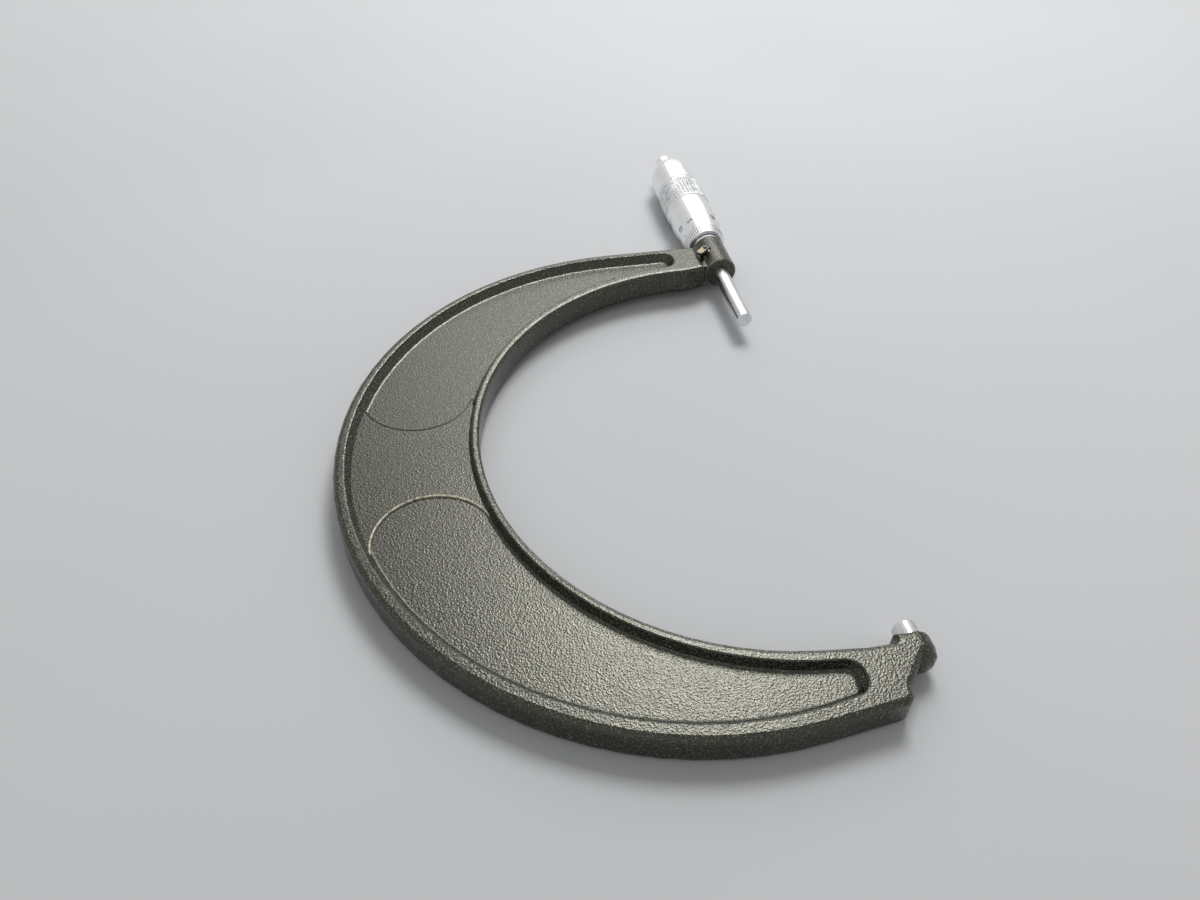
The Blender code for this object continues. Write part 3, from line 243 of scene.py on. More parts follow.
def reckon(tree, operation, a, b):
    """One sum of two numbers."""
    return add_node(tree, "ShaderNodeMath", {0: a, 1: b}, operation=operation).outputs[0]


# %% [markdown]
# Five more make what most finishes share: the place on the piece, a noise over it, colours and numbers
# that follow the noise, and a relief. The place is the object's own, so a pattern moves with its piece.

# %% Helpers for patterns
def own_place(tree, scale=(1, 1, 1)):
    """The point's own place on the object, stretched along the axes."""
    place = add_node(tree, "ShaderNodeTexCoord", {})
    stretched = add_node(
        tree, "ShaderNodeMapping", {"Vector": place.outputs["Object"], "Scale": scale}
    )
    return stretched.outputs["Vector"]


def noise(tree, place, scale, detail=2.0, roughness=0.5):
    """Soft random cells, about 1 / scale metres wide."""
    made = add_node(
        tree,
        "ShaderNodeTexNoise",
        {"Vector": place, "Scale": scale, "Detail": detail, "Roughness": roughness},
    )
    return made.outputs["Fac"]


def shade(tree, value, stops):
    """A colour ramp over a value, from (place, colour) stops."""
    ramp = add_node(tree, "ShaderNodeValToRGB", {"Fac": value})
    keys = ramp.color_ramp.elements
    while len(keys) < len(stops):
        keys.new(0.5)
    for key, (place, colour) in zip(keys, stops):
        key.position = place
        key.color = (*colour, 1.0)
    return ramp.outputs["Color"]


def span(tree, value, low, high):
    """The value, from 0 to 1, spread between two others."""
    spread = add_node(tree, "ShaderNodeMapRange", {"Value": value, "To Min": low, "To Max": high})
    return spread.outputs["Result"]


def relief(tree, shader, height, depth):
    """Lets a height map disturb the surface by a depth in metres."""
    bump = add_node(tree, "ShaderNodeBump", {"Height": height, "Distance": depth, "Strength": 1.0})
    tree.links.new(bump.outputs["Normal"], shader.inputs["Normal"])


# %% [markdown]
# ## Wrinkle enamel on the frame
# The casting is stove-enamelled: the paint dries into tiny glossy wrinkles, near black. Pale flecks
# are painted into its colour as glints of light. A Voronoi pattern gives the wrinkles' size, a finer
# noise breaks them up, and both feed the bump. A soft large noise makes some areas duller.

# %% Wrinkle enamel
WRINKLE_SCALE = 1500
WRINKLE_DEPTH = 0.00007
SPECKLE_SCALE = 1.3 * WRINKLE_SCALE
PATCH_SCALE = 160
# The palest tone is a painted glint: light caught on the wrinkles, put into the colour.
ENAMEL_TONES_WITH_PAINTED_GLINTS = [
    (0.42, (0.003, 0.003, 0.003)),
    (0.56, (0.008, 0.008, 0.006)),
    (0.68, (0.200, 0.200, 0.150)),
]


def make_enamel():
    """Black enamel with wrinkles, painted pale glints and duller patches."""
    finish, tree, shader = start_finish("wrinkle enamel", metallic=0.0, roughness=0.28)
    place = own_place(tree)
    cells = add_node(
        tree, "ShaderNodeTexVoronoi", {"Vector": place, "Scale": WRINKLE_SCALE, "Randomness": 1.0}
    )
    speckle = noise(tree, place, SPECKLE_SCALE, detail=2.0, roughness=0.7)
    patches = noise(tree, place, PATCH_SCALE, detail=4.0, roughness=0.6)
    tree.links.new(shade(tree, speckle, ENAMEL_TONES_WITH_PAINTED_GLINTS), shader.inputs["Base Color"])
    tree.links.new(span(tree, patches, low=0.08, high=0.30), shader.inputs["Roughness"])
    shader.inputs["Specular IOR Level"].default_value = 0.7
    shader.inputs["Specular Tint"].default_value = (1.0, 0.99, 0.84, 1.0)
    height = reckon(tree, "ADD", cells.outputs["Distance"], speckle)
    relief(tree, shader, height, WRINKLE_DEPTH)
    return finish


enamel = make_enamel()
print("made", enamel.name)

# %% [markdown]
# Where the casting has a slim bead, the wrinkles run smooth. One recipe makes three smooth enamels with a
# paler second tone in noise patches: pale, less pale for an edge, and black. The pale ones are painted
# highlight.

# %% Smooth enamel with pale patches
PALE_PATCH_SCALE = 700
PALE_PATCH_DEPTH = 0.000010


def make_smooth_enamel(name, tone, paler_tone):
    """Enamel without wrinkles, with a paler second tone in noise patches."""
    finish, tree, shader = start_finish(name, metallic=0.0, roughness=0.32)
    pale_patches = noise(tree, own_place(tree), PALE_PATCH_SCALE, detail=4.0, roughness=0.6)
    tree.links.new(shade(tree, pale_patches, [(0.36, tone), (0.56, paler_tone)]), shader.inputs["Base Color"])
    tree.links.new(span(tree, pale_patches, low=0.24, high=0.42), shader.inputs["Roughness"])
    relief(tree, shader, pale_patches, PALE_PATCH_DEPTH)
    print("made", finish.name)
    return finish


# The pale enamel paints a highlight onto the lower bead.
pale_highlight_enamel = make_smooth_enamel("pale highlight enamel", tone=(0.16, 0.155, 0.11), paler_tone=(0.62, 0.60, 0.44))
# The edge enamel's pale patches paint a highlight onto the hub's front edge.
edge_enamel = make_smooth_enamel("edge enamel", tone=(0.02, 0.02, 0.016), paler_tone=(0.20, 0.195, 0.15))
smooth_enamel = make_smooth_enamel(
    "smooth enamel", tone=(0.006, 0.006, 0.006), paler_tone=(0.014, 0.014, 0.012)
)

# %% [markdown]
# ## Ground and turned steel
# Steel that was ground or turned carries fine rings round its axis. A noise that is squeezed hard along
# X and hardly at all across it makes such rings. They go to the bump and, weaker, to the roughness, so
# that a highlight breaks into streaks. Old steel also has dull stains, from a slow second noise.

# %% The recipe for steel
RING_STRETCH = 60
STAIN_SCALE = 220
GRAIN_SCALE = 2600
DULLER = 0.12
SHINIER = 0.08


def make_steel(name, colour, stain, roughness, rings, ring_depth):
    """A bare or plated steel with turned rings round X, and stains of a second colour."""
    finish, tree, shader = start_finish(name, metallic=1.0, roughness=roughness)
    across = rings / RING_STRETCH
    ringed = noise(tree, own_place(tree, (rings, across, across)), 1.0, detail=2.0, roughness=0.6)
    place = own_place(tree)
    stains = noise(tree, place, STAIN_SCALE, detail=5.0, roughness=0.62)
    grain = noise(tree, place, GRAIN_SCALE)
    tone = shade(tree, stains, [(0.30, stain), (0.52, colour)])
    tree.links.new(tone, shader.inputs["Base Color"])
    halved = reckon(tree, "MULTIPLY", reckon(tree, "ADD", ringed, stains), 0.5)
    gloss = span(tree, halved, low=roughness + DULLER, high=roughness - SHINIER)
    tree.links.new(gloss, shader.inputs["Roughness"])
    relief(tree, shader, reckon(tree, "ADD", ringed, grain), ring_depth)
    print("made", finish.name)
    return finish


# %% [markdown]
# The anvil and the spindle are ground. The sleeve, thimble, cap and knob are plated with satin chrome, and
# what is inside is plain turned steel. The lock's lever has a worn bronze tone, its screw is blackened.

# %% Five steels
ground_steel = make_steel(
    "ground steel",
    colour=(0.72, 0.73, 0.75),
    stain=(0.52, 0.51, 0.50),
    roughness=0.24,
    rings=9000,
    ring_depth=0.000004,
)
satin_chrome = make_steel(
    "satin chrome",
    colour=(0.86, 0.87, 0.88),
    stain=(0.79, 0.79, 0.78),
    roughness=0.31,
    rings=7000,
    ring_depth=0.000006,
)
turned_steel = make_steel(
    "turned steel",
    colour=(0.52, 0.53, 0.55),
    stain=(0.36, 0.35, 0.34),
    roughness=0.36,
    rings=5000,
    ring_depth=0.000010,
)
bronzed_steel = make_steel(
    "bronzed steel",
    colour=(0.20, 0.165, 0.115),
    stain=(0.09, 0.075, 0.055),
    roughness=0.42,
    rings=5000,
    ring_depth=0.000006,
)
blackened_steel = make_steel(
    "blackened steel",
    colour=(0.10, 0.10, 0.10),
    stain=(0.05, 0.05, 0.05),
    roughness=0.42,
    rings=5000,
    ring_depth=0.000006,
)

# %% [markdown]
# ## Black filler in the engraving
# The lines and figures are cut into the chrome and rubbed full with black paint, which dries matt and a
# little uneven.

# %% Engraving black
FILLER_SCALE = 900
FILLER_DEPTH = 0.000010


def make_filler():
    """Matt black paint that is worn a little."""
    finish, tree, shader = start_finish("engraving black", metallic=0.0, roughness=0.55)
    worn = noise(tree, own_place(tree), FILLER_SCALE, detail=4.0, roughness=0.6)
    tone = shade(tree, worn, [(0.35, (0.012, 0.012, 0.013)), (0.75, (0.07, 0.07, 0.07))])
    tree.links.new(tone, shader.inputs["Base Color"])
    relief(tree, shader, worn, FILLER_DEPTH)
    return finish


engraving_black = make_filler()
print("made", engraving_black.name)

# %% [markdown]
# ## The table's finish
# The table is plain: one pale colour with a trace of tone, so that it doesn't look like a void.

# %% Table finish
TABLE_TONE_SCALE = 4.0


def make_table_finish():
    """Matt and pale, in two tones that hardly differ."""
    finish, tree, shader = start_finish("pale table", metallic=0.0, roughness=0.9)
    drift = noise(tree, own_place(tree), TABLE_TONE_SCALE)
    tone = shade(tree, drift, [(0.3, (0.58, 0.59, 0.60)), (0.7, (0.61, 0.62, 0.63))])
    tree.links.new(tone, shader.inputs["Base Color"])
    return finish


table_mesh.materials.append(make_table_finish())
print("made", table_mesh.materials[0].name)

# %% [markdown]
# ## A finish for each solid
# The record names a material slot for each solid, and one table says which finish a slot gets. Only the
# lock's screw leaves its slot's finish: it is blackened, so it shows as a dark dot on the lever.

# %% Give each solid its finish
FINISH_OF_SLOT = {
    "black_wrinkle_enamel": enamel,
    "ground_steel": ground_steel,
    "satin_chrome": satin_chrome,
    "plain_steel": turned_steel,
    "bronzed_steel": bronzed_steel,
}
BLACKENED_SOLID = "lock_screw"

for subpart in frame["record"]["subparts"]:
    finish = FINISH_OF_SLOT[subpart["material_slot"]]
    if subpart["node"] == BLACKENED_SOLID:
        finish = blackened_steel
    for place_in_object in nodes[subpart["node"]].material_slots:
        place_in_object.material = finish

# %% [markdown]
# ## Laying marks out flat and rolling them on
# A scale is easiest to think of as a flat strip: lines at equal steps, each fifth one longer. Geometry
# Nodes lay such a strip out, and a second step rolls it round the X axis, also onto a cone. Copying and
# turning each line by hand would do as well, but a strip can hold figures and knurling too. These helpers
# start a tree with named inputs and reckon with places.

# %% Helpers for Geometry Nodes
def geometry_tree(name, inputs):
    """A new tree with named inputs and one geometry output."""
    tree = bpy.data.node_groups.new(name, "GeometryNodeTree")
    tree.interface.new_socket("Geometry", in_out="OUTPUT", socket_type="NodeSocketGeometry")
    for label, kind in inputs:
        tree.interface.new_socket(label, in_out="INPUT", socket_type="NodeSocket" + kind)
    given = tree.nodes.new("NodeGroupInput").outputs
    return tree, given, tree.nodes.new("NodeGroupOutput").inputs


def vector_of(tree, x, y, z):
    """Three numbers as one place."""
    return add_node(tree, "ShaderNodeCombineXYZ", {"X": x, "Y": y, "Z": z}).outputs["Vector"]


def reckon_places(tree, operation, a, b):
    """One sum of two places."""
    return add_node(tree, "ShaderNodeVectorMath", {0: a, 1: b}, operation=operation).outputs[0]


# %% [markdown]
# Rolling is one formula. A point's x stays. Its y, divided by the radius, becomes the angle by which it
# goes round, and its z is added to the radius, which on a cone also grows with x.

# %% Roll a strip round the axis
ROLL_INPUTS = [
    ("Radius", "Float"),
    ("Radius Place", "Float"),
    ("Slope", "Float"),
    ("Start Angle", "Float"),
    ("Finish", "Material"),
]


def add_roll(tree, strip, given):
    """Rolls the flat strip round X. Its x stays, its y goes round, and its z is the height."""
    place = add_node(tree, "GeometryNodeInputPosition", {})
    parts = add_node(tree, "ShaderNodeSeparateXYZ", {"Vector": place.outputs["Position"]}).outputs
    beyond = reckon(tree, "SUBTRACT", parts["X"], given["Radius Place"])
    grown = reckon(tree, "MULTIPLY", beyond, given["Slope"])
    radius = reckon(tree, "ADD", reckon(tree, "ADD", given["Radius"], grown), parts["Z"])
    gone_round = reckon(tree, "DIVIDE", parts["Y"], given["Radius"])
    turn = reckon(tree, "SUBTRACT", given["Start Angle"], gone_round)
    rolled = vector_of(
        tree,
        parts["X"],
        reckon(tree, "MULTIPLY", radius, reckon(tree, "COSINE", turn, 0.0)),
        reckon(tree, "MULTIPLY", radius, reckon(tree, "SINE", turn, 0.0)),
    )
    moved = add_node(tree, "GeometryNodeSetPosition", {"Geometry": strip, "Position": rolled})
    painted = add_node(
        tree, "GeometryNodeSetMaterial", {"Geometry": moved.outputs[0], "Material": given["Finish"]}
    )
    return painted.outputs[0]


# %% [markdown]
# A tree is only a recipe. To bake it, an empty object gets it as a modifier with its inputs filled in,
# and the evaluated result is kept as a plain mesh. The helper object goes, and its modifier with it.

# %% Bake a tree
def bake(name, tree, values, body, flat_mesh=None):
    """Runs a tree and keeps its result as a plain mesh that rides on a body."""
    holder = bpy.data.objects.new(name + "_maker", flat_mesh or bpy.data.meshes.new(name + "_maker"))
    bpy.context.collection.objects.link(holder)
    modifier = holder.modifiers.new(name, "NODES")
    modifier.node_group = tree
    for item in tree.interface.items_tree:
        if item.in_out == "INPUT" and item.name in values:
            modifier[item.identifier] = values[item.name]
    graph = bpy.context.evaluated_depsgraph_get()
    mesh = bpy.data.meshes.new_from_object(holder.evaluated_get(graph))
    mesh.name = name
    bpy.data.objects.remove(holder)
    piece = bpy.data.objects.new(name, mesh)
    bpy.context.collection.objects.link(piece)
    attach(piece, body)
    print(name, "faces:", len(mesh.polygons))
    return piece


# %% [markdown]
# ## The tree for scale lines
# All the lines come from one tree. It puts points in a row and a box on each of them, scaled to the short
# line's size or, on each fifth, the long one's. The anchor says which side of a box stays on the row, so
# that long and short lines begin together. The boxes are cut across a few times, to follow the round.

# %% Scale lines
LONG_LINE_EVERY = 5.0
LINE_CUTS = 6
MIX_VECTOR_A, MIX_VECTOR_B, MIX_VECTOR_RESULT = 4, 5, 1


def make_scale_tree():
    """Boxes in a row, each fifth one longer, rolled round the axis."""
    tree, given, result = geometry_tree(
        "scale lines",
        [
            ("Count", "Int"),
            ("First", "Vector"),
            ("Step", "Vector"),
            ("Short Line", "Vector"),
            ("Long Line", "Vector"),
            ("Anchor", "Vector"),
            *ROLL_INPUTS,
        ],
    )
    row = add_node(tree, "GeometryNodePoints", {"Count": given["Count"]}).outputs[0]
    number = add_node(tree, "GeometryNodeInputIndex", {}).outputs["Index"]
    fifth = reckon(tree, "LESS_THAN", reckon(tree, "MODULO", number, LONG_LINE_EVERY), 0.5)
    sizes = {"Factor": fifth, MIX_VECTOR_A: given["Short Line"], MIX_VECTOR_B: given["Long Line"]}
    size = add_node(tree, "ShaderNodeMix", sizes, data_type="VECTOR").outputs[MIX_VECTOR_RESULT]
    lean = reckon_places(tree, "MULTIPLY", size, given["Anchor"])
    along = add_node(
        tree, "ShaderNodeVectorMath", {0: given["Step"], "Scale": number}, operation="SCALE"
    ).outputs[0]
    spot = reckon_places(tree, "ADD", reckon_places(tree, "ADD", given["First"], along), lean)
    placed = add_node(tree, "GeometryNodeSetPosition", {"Geometry": row, "Position": spot}).outputs[0]
    cuts = {"Size": (1, 1, 1), "Vertices X": 2, "Vertices Y": LINE_CUTS, "Vertices Z": 2}
    line = add_node(tree, "GeometryNodeMeshCube", cuts).outputs["Mesh"]
    lines = add_node(
        tree, "GeometryNodeInstanceOnPoints", {"Points": placed, "Instance": line, "Scale": size}
    ).outputs[0]
    real = add_node(tree, "GeometryNodeRealizeInstances", {"Geometry": lines}).outputs[0]
    tree.links.new(add_roll(tree, real, given), result["Geometry"])
    return tree


scale_tree = make_scale_tree()
print("scale tree nodes:", len(scale_tree.nodes))

# %% [markdown]
# ## Beads along the pad
# The pad in the middle of the frame ends in two hollow arcs, and the casting has a slim bead along each
# of them. The lower one is painted pale as a highlight, and the upper one is black. A bead is a round bar
# bent along an arc: Geometry Nodes sweep a small circle along an arc, and a second copy as far below does
# the frame's other side. A mirror would do that too, but it turns faces inside out.

# %% The tree for a bead
BEAD_STEPS = 72
BEAD_SIDES = 16


def make_bead_tree():
    """A round bar along an arc, on both sides of the frame."""
    tree, given, result = geometry_tree(
        "bead",
        [
            ("Arc Radius", "Float"),
            ("Arc Start", "Float"),
            ("Arc Sweep", "Float"),
            ("Bead Radius", "Float"),
            ("Centre", "Vector"),
            ("Finish", "Material"),
        ],
    )
    arc = add_node(
        tree,
        "GeometryNodeCurveArc",
        {
            "Resolution": BEAD_STEPS,
            "Radius": given["Arc Radius"],
            "Start Angle": given["Arc Start"],
            "Sweep Angle": given["Arc Sweep"],
        },
        mode="RADIUS",
    ).outputs["Curve"]
    ring = add_node(
        tree,
        "GeometryNodeCurvePrimitiveCircle",
        {"Resolution": BEAD_SIDES, "Radius": given["Bead Radius"]},
        mode="RADIUS",
    ).outputs["Curve"]
    bar = add_node(
        tree, "GeometryNodeCurveToMesh", {"Curve": arc, "Profile Curve": ring, "Fill Caps": True}
    ).outputs[0]
    both = add_node(tree, "GeometryNodeJoinGeometry", {})
    for place in (given["Centre"], reckon_places(tree, "MULTIPLY", given["Centre"], (1, 1, -1))):
        side = add_node(tree, "GeometryNodeTransform", {"Geometry": bar, "Translation": place})
        tree.links.new(side.outputs[0], both.inputs[0])
    real = add_node(tree, "GeometryNodeRealizeInstances", {"Geometry": both.outputs[0]}).outputs[0]
    painted = add_node(
        tree, "GeometryNodeSetMaterial", {"Geometry": real, "Material": given["Finish"]}
    ).outputs[0]
    tree.links.new(painted, result["Geometry"])
    return tree


bead_tree = make_bead_tree()
print("bead tree nodes:", len(bead_tree.nodes))

# %% [markdown]
# Each arc runs from the wall at the throat to the wall at the back. Where it meets them follows from the
# cosine rule: two circles and the distance of their centres give the angle of the crossing. Where the
# circles only come near each other, the arc ends at the nearest point. Three of the four ends lie inside
# a wall. The upper arc's end at the throat stops just short of it, where the black bead hardly shows.

# %% Where an arc ends
PAD_ARC_RADIUS = 0.0195
PAD_ARC_CENTRES = {"lower": Vector((0.0546, 0.1292)), "upper": Vector((0.1252, 0.1292))}
THROAT_WALL = (Vector((0.0867, 0.0159)), 0.0979)
BACK_WALL = (Vector((0.0849, 0.0458)), 0.1091)
END_IN_WALL = 0.0010


def crossing_angle(centre, wall_centre, wall_radius, facing):
    """Angle on the pad's arc, from the side facing the pad, at which it meets or nears a round wall."""
    away = wall_centre - centre
    squares = PAD_ARC_RADIUS**2 + away.length_squared - wall_radius**2
    cosine = squares / (2 * PAD_ARC_RADIUS * away.length)
    opening = acos(max(-1.0, min(1.0, cosine)))
    turns = (atan2(away.y, away.x) + opening, atan2(away.y, away.x) - opening)
    return min(((turn - facing + pi) % tau - pi for turn in turns), key=abs)


# %% Beads
BEAD_RADIUS = 0.00040
BEAD_HEIGHT = 0.00240

for name, centre in PAD_ARC_CENTRES.items():
    facing = 0.0 if name == "lower" else pi
    start, end = sorted(
        (
            crossing_angle(centre, THROAT_WALL[0], THROAT_WALL[1] - END_IN_WALL, facing),
            crossing_angle(centre, BACK_WALL[0], BACK_WALL[1] + END_IN_WALL, facing),
        )
    )
    bake(
        "pad_bead_" + name,
        bead_tree,
        {
            "Arc Radius": PAD_ARC_RADIUS,
            "Arc Start": facing + start,
            "Arc Sweep": end - start,
            "Bead Radius": BEAD_RADIUS,
            "Centre": (*centre, BEAD_HEIGHT),
            # The lower bead's pale enamel is a painted highlight.
            "Finish": pale_highlight_enamel if name == "lower" else smooth_enamel,
        },
        "frame",
    )

# %% [markdown]
# The rounded front edge of the hub gets enamel with pale patches, a painted highlight. A torus is just
# the right shape for a rounded edge: its thickness is the edge's rounding and a hair more, so it lies
# over the edge like a skin.

# %% Hub edge with a painted highlight
HUB_FRONT_X = 0.1835
HUB_RADIUS = 0.0067
HUB_EDGE_ROUND = 0.0005
SKIN = 0.00004
HUB_EDGE_STEPS = 112
HUB_EDGE_SIDES = 20

bpy.ops.mesh.primitive_torus_add(
    major_segments=HUB_EDGE_STEPS,
    minor_segments=HUB_EDGE_SIDES,
    major_radius=HUB_RADIUS - HUB_EDGE_ROUND,
    minor_radius=HUB_EDGE_ROUND + SKIN,
)
hub_edge = bpy.context.object
hub_edge.name = "hub_edge"
hub_edge.data.transform(
    Matrix.Translation((HUB_FRONT_X + HUB_EDGE_ROUND, 0, 0)) @ Matrix.Rotation(pi / 2, 4, "Y")
)
# The edge enamel's pale patches are a painted highlight along the edge.
hub_edge.data.materials.append(edge_enamel)
hub_edge.data.shade_smooth()
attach(hub_edge, "frame")
print("hub edge faces:", len(hub_edge.data.polygons))

# %% [markdown]
# ## The thimble's scale
# One turn of the thimble moves the spindle by half a millimetre, so its bevelled edge is divided into 50
# parts of a hundredth each. When the micrometer is closed, its zero meets the line on the sleeve, which
# looks up at the reader. The figures grow in the direction in which the thimble opens.

# %% Thimble scale
THIMBLE_EDGE_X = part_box("thimble")[0].x
THIMBLE_EDGE_RADIUS = 0.0080
THIMBLE_RADIUS = 0.00985
CONE_LENGTH = 0.0182
DIVISIONS = 50
READING_ANGLE = radians(90)
LINE_WIDTH = 0.00016
LINE_DEPTH = 0.00010
LINE_PROUD = 0.00002
FIRST_FROM_EDGE = 0.0005
SHORT_LINE = 0.0042
LONG_LINE = 0.0064

on_thimble = {
    "Radius": THIMBLE_EDGE_RADIUS,
    "Radius Place": THIMBLE_EDGE_X,
    "Slope": (THIMBLE_RADIUS - THIMBLE_EDGE_RADIUS) / CONE_LENGTH,
    "Start Angle": READING_ANGLE,
    "Finish": engraving_black,
}
division = tau * THIMBLE_EDGE_RADIUS / DIVISIONS
line_middle = LINE_PROUD - LINE_DEPTH / 2
bake(
    "thimble_lines",
    scale_tree,
    {
        "Count": DIVISIONS,
        "First": (THIMBLE_EDGE_X + FIRST_FROM_EDGE, 0.0, line_middle),
        "Step": (0.0, division, 0.0),
        "Short Line": (SHORT_LINE, LINE_WIDTH, LINE_DEPTH),
        "Long Line": (LONG_LINE, LINE_WIDTH, LINE_DEPTH),
        "Anchor": (0.5, 0.0, 0.0),
        **on_thimble,
    },
    "thimble",
)

# %% [markdown]
# Figures start as text objects, because Blender's own letter shapes save all drawing. A text is a flat
# curve, so it is made a mesh first, and several of them become one flat mesh.

# %% Flat figures
MERGE_DISTANCE = 1e-7


def flat_figures(words, size):
    """One flat mesh of several short texts, each at its (x, y) place and centred there in height."""
    together = bmesh.new()
    for word, x, y in words:
        text = bpy.data.curves.new("figure", "FONT")
        text.body = word
        text.size = size
        text.align_y = "CENTER"
        text.extrude = LINE_DEPTH / 2
        holder = bpy.data.objects.new("figure", text)
        bpy.context.collection.objects.link(holder)
        graph = bpy.context.evaluated_depsgraph_get()
        mesh = bpy.data.meshes.new_from_object(holder.evaluated_get(graph))
        mesh.transform(Matrix.Translation((x, y, line_middle)))
        together.from_mesh(mesh)
        bpy.data.objects.remove(holder)
        bpy.data.meshes.remove(mesh)
        bpy.data.curves.remove(text)
    bmesh.ops.remove_doubles(together, verts=together.verts, dist=MERGE_DISTANCE)
    flat = bpy.data.meshes.new("figures")
    together.to_mesh(flat)
    together.free()
    return flat


# %% [markdown]
# Then the figures are rolled on like the lines. The tree cuts their faces smaller before that, so that
# they follow the round steel instead of cutting through it. Each fifth line of the thimble has a figure.

# %% Figures on the thimble
FIGURE_EVERY = 5
THIMBLE_FIGURE_SIZE = 0.0032
THIMBLE_FIGURE_FROM_EDGE = 0.0096


def make_figure_tree():
    """Cuts a flat piece finer and rolls it round the axis."""
    tree, given, result = geometry_tree("rolled figures", [("Geometry", "Geometry"), *ROLL_INPUTS])
    finer = add_node(tree, "GeometryNodeSubdivideMesh", {"Mesh": given["Geometry"], "Level": 1}).outputs[0]
    real = add_node(tree, "GeometryNodeRealizeInstances", {"Geometry": finer}).outputs[0]
    tree.links.new(add_roll(tree, real, given), result["Geometry"])
    return tree


figure_tree = make_figure_tree()
thimble_words = [
    (str(n), THIMBLE_EDGE_X + THIMBLE_FIGURE_FROM_EDGE, n * division)
    for n in range(0, DIVISIONS, FIGURE_EVERY)
]
thimble_flat = flat_figures(thimble_words, THIMBLE_FIGURE_SIZE)
bake("thimble_figures", figure_tree, on_thimble, "thimble", thimble_flat)

# %% [markdown]
# ## The sleeve's scale
# The sleeve has a long line with millimetres above it and half millimetres below. When the micrometer is
# closed, the thimble hides all but the line's first stretch and the zero. The rest comes out as the
# spindle opens.

# %% Sleeve scale
SLEEVE_RADIUS = 0.0064
SLEEVE_START_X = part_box("graduated_sleeve")[0].x
TRAVEL_MM = 25
MILLIMETRE = 0.001
DATUM_START = 0.0004
DATUM_LENGTH = 0.0284
WHOLE_LINE = 0.0014
FIFTH_LINE = 0.0022
HALF_LINE = 0.0013

on_sleeve = {
    "Radius": SLEEVE_RADIUS,
    "Radius Place": 0.0,
    "Slope": 0.0,
    "Start Angle": READING_ANGLE,
    "Finish": engraving_black,
}
whole = (LINE_WIDTH, WHOLE_LINE, LINE_DEPTH)
whole_fifth = (LINE_WIDTH, FIFTH_LINE, LINE_DEPTH)
half = (LINE_WIDTH, HALF_LINE, LINE_DEPTH)
datum = (DATUM_LENGTH, LINE_WIDTH, LINE_DEPTH)
for name, count, first_x, short, long, side in (
    ("sleeve_millimetres", TRAVEL_MM + 1, THIMBLE_EDGE_X, whole, whole_fifth, 0.5),
    ("sleeve_halves", TRAVEL_MM, THIMBLE_EDGE_X + MILLIMETRE / 2, half, half, -0.5),
    ("sleeve_datum", 1, SLEEVE_START_X + DATUM_START, datum, datum, 0.0),
):
    bake(
        name,
        scale_tree,
        {
            "Count": count,
            "First": (first_x - LINE_WIDTH / 2, 0.0, line_middle),
            "Step": (MILLIMETRE, 0.0, 0.0),
            "Short Line": short,
            "Long Line": long,
            "Anchor": (0.0 if side else 0.5, side, 0.0),
            **on_sleeve,
        },
        "frame",
    )

# %% [markdown]
# Each fifth millimetre has its figure above its mark. All figures start a little before their mark, by
# about half a digit.

# %% Figures on the sleeve
SLEEVE_FIGURE_SIZE = 0.0022
SLEEVE_FIGURE_BACK = 0.0007
SLEEVE_FIGURE_ABOVE = 0.0036

sleeve_words = [
    (str(n), THIMBLE_EDGE_X + n * MILLIMETRE - SLEEVE_FIGURE_BACK, SLEEVE_FIGURE_ABOVE)
    for n in range(0, TRAVEL_MM + 1, FIGURE_EVERY)
]
sleeve_flat = flat_figures(sleeve_words, SLEEVE_FIGURE_SIZE)
bake("sleeve_figures", figure_tree, on_sleeve, "frame", sleeve_flat)

# %% [markdown]
# ## Knurling on the thimble
# The grip is knurled: rollers press the steel into rows of small pyramids. Displacement or bump could
# fake it, but the outline of the thimble would stay smooth, so real pyramids are set on two grids that
# sit half a step apart, and the sheet of them is rolled round the thimble.
#
# The knurl has a chrome of its own, with painted shade in its hollows: its tone follows the distance from
# the axis, darkest between the points, and a noise of dirt keeps it from being even.

# %% Chrome for the knurl
KNURL_HEIGHT = 0.00024
KNURL_SUNK = 0.00005
DIRT_SCALE = 420
KNURL_GRAIN_DEPTH = 0.000006
# The dark tones are painted shade in the knurl's hollows, with a noise of dirt mixed in.
KNURL_SHADE_AND_DIRT_TONES = [(0.20, (0.10, 0.10, 0.10)), (0.30, (0.45, 0.46, 0.47)), (0.42, (0.84, 0.85, 0.86))]


def make_worn_chrome():
    """Chrome with painted shade in the hollows of the knurl, mixed with a noise of dirt."""
    finish, tree, shader = start_finish("knurled chrome", metallic=1.0, roughness=0.34)
    place = own_place(tree)
    from_axis = add_node(
        tree, "ShaderNodeVectorMath", {0: own_place(tree, (0, 1, 1))}, operation="LENGTH"
    ).outputs["Value"]
    height = add_node(
        tree,
        "ShaderNodeMapRange",
        {
            "Value": from_axis,
            "From Min": THIMBLE_RADIUS,
            "From Max": THIMBLE_RADIUS + KNURL_HEIGHT - KNURL_SUNK,
        },
    ).outputs["Result"]
    dirt = noise(tree, place, DIRT_SCALE, detail=3.0, roughness=0.6)
    # Painted shade: the colour darkens towards the axis, between the pyramids, and a dirt noise is added.
    shade_and_dirt = reckon(tree, "MULTIPLY", reckon(tree, "ADD", height, dirt), 0.5)
    tree.links.new(shade(tree, shade_and_dirt, KNURL_SHADE_AND_DIRT_TONES), shader.inputs["Base Color"])
    tree.links.new(span(tree, dirt, low=0.46, high=0.22), shader.inputs["Roughness"])
    relief(tree, shader, noise(tree, place, GRAIN_SCALE), KNURL_GRAIN_DEPTH)
    return finish


knurl_chrome = make_worn_chrome()
print("made", knurl_chrome.name)

# %% [markdown]
# The two grids of pyramids are one tree, with the number of rows and columns as its inputs. A pyramid is
# a cone with four sides and a closed base, a hair narrower than its step, so that no two share an edge.

# %% The tree for the knurl
BASE_SHARE = 0.49


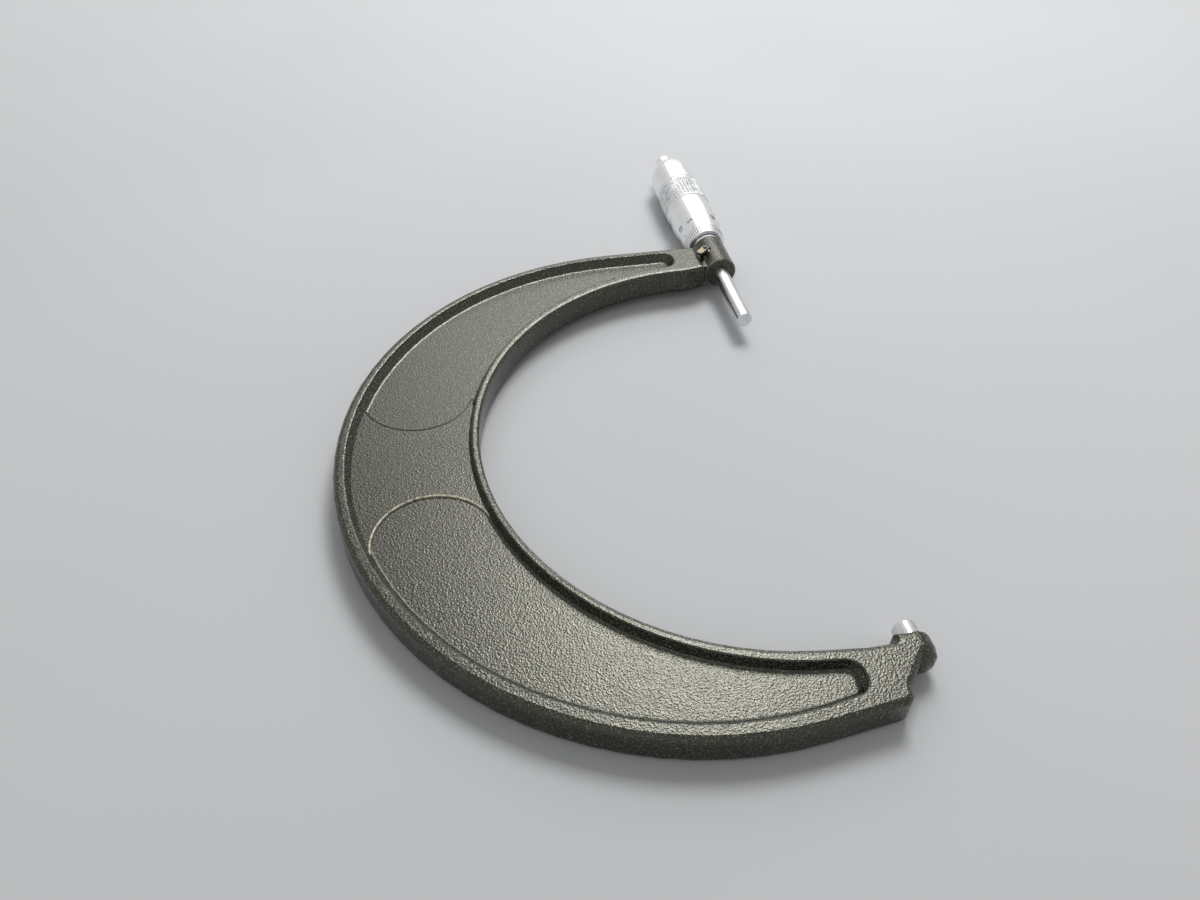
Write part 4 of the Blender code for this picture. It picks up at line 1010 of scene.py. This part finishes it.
def make_knurl_tree():
    """Pyramids on two staggered grids, rolled round the axis."""
    tree, given, result = geometry_tree(
        "knurl",
        [
            ("Rows", "Int"),
            ("Columns", "Int"),
            ("Row Step", "Float"),
            ("Column Step", "Float"),
            ("Start", "Float"),
            ("Height", "Float"),
            ("Sunk", "Float"),
            *ROLL_INPUTS,
        ],
    )
    sheets = add_node(tree, "GeometryNodeJoinGeometry", {})
    for shift in (0.0, 0.5):
        rows = reckon(tree, "SUBTRACT", given["Rows"], 2 * shift)
        number = add_node(tree, "GeometryNodeInputIndex", {}).outputs["Index"]
        count = reckon(tree, "MULTIPLY", rows, given["Columns"])
        points = add_node(tree, "GeometryNodePoints", {"Count": count}).outputs[0]
        row = reckon(tree, "FLOOR", reckon(tree, "DIVIDE", number, given["Columns"]), 0.0)
        column = reckon(tree, "MODULO", number, given["Columns"])
        x = reckon(tree, "MULTIPLY", reckon(tree, "ADD", row, 0.5 + shift), given["Row Step"])
        y = reckon(tree, "MULTIPLY", reckon(tree, "ADD", column, shift), given["Column Step"])
        z = reckon(tree, "MULTIPLY", given["Sunk"], -1.0)
        spot = vector_of(tree, reckon(tree, "ADD", given["Start"], x), y, z)
        placed = add_node(tree, "GeometryNodeSetPosition", {"Geometry": points, "Position": spot})
        tree.links.new(placed.outputs[0], sheets.inputs[0])
    pyramid = add_node(
        tree,
        "GeometryNodeMeshCone",
        {
            "Vertices": 4,
            "Radius Top": 0.0,
            "Radius Bottom": reckon(tree, "MULTIPLY", given["Column Step"], BASE_SHARE),
            "Depth": given["Height"],
        },
        fill_type="NGON",
    ).outputs["Mesh"]
    stretch = vector_of(tree, reckon(tree, "DIVIDE", given["Row Step"], given["Column Step"]), 1.0, 1.0)
    grown = add_node(
        tree,
        "GeometryNodeInstanceOnPoints",
        {"Points": sheets.outputs[0], "Instance": pyramid, "Scale": stretch},
    ).outputs[0]
    real = add_node(tree, "GeometryNodeRealizeInstances", {"Geometry": grown}).outputs[0]
    tree.links.new(add_roll(tree, real, given), result["Geometry"])
    return tree


# %% [markdown]
# The grip has 19 rows of 76 pyramids, and a second grid between them. A smooth margin is left at each
# end of the grip.

# %% Knurl
KNURL_START = 0.2330
KNURL_LENGTH = 0.0155
KNURL_MARGIN = 0.0003
KNURL_ROWS = 19
KNURL_COLUMNS = 76

knurl = bake(
    "thimble_knurl",
    make_knurl_tree(),
    {
        "Rows": KNURL_ROWS,
        "Columns": KNURL_COLUMNS,
        "Row Step": (KNURL_LENGTH - 2 * KNURL_MARGIN) / KNURL_ROWS,
        "Column Step": tau * THIMBLE_RADIUS / KNURL_COLUMNS,
        "Start": KNURL_START + KNURL_MARGIN,
        "Height": KNURL_HEIGHT,
        "Sunk": KNURL_SUNK,
        "Radius": THIMBLE_RADIUS,
        "Radius Place": 0.0,
        "Slope": 0.0,
        "Start Angle": READING_ANGLE,
        "Finish": knurl_chrome,
    },
    "thimble",
)
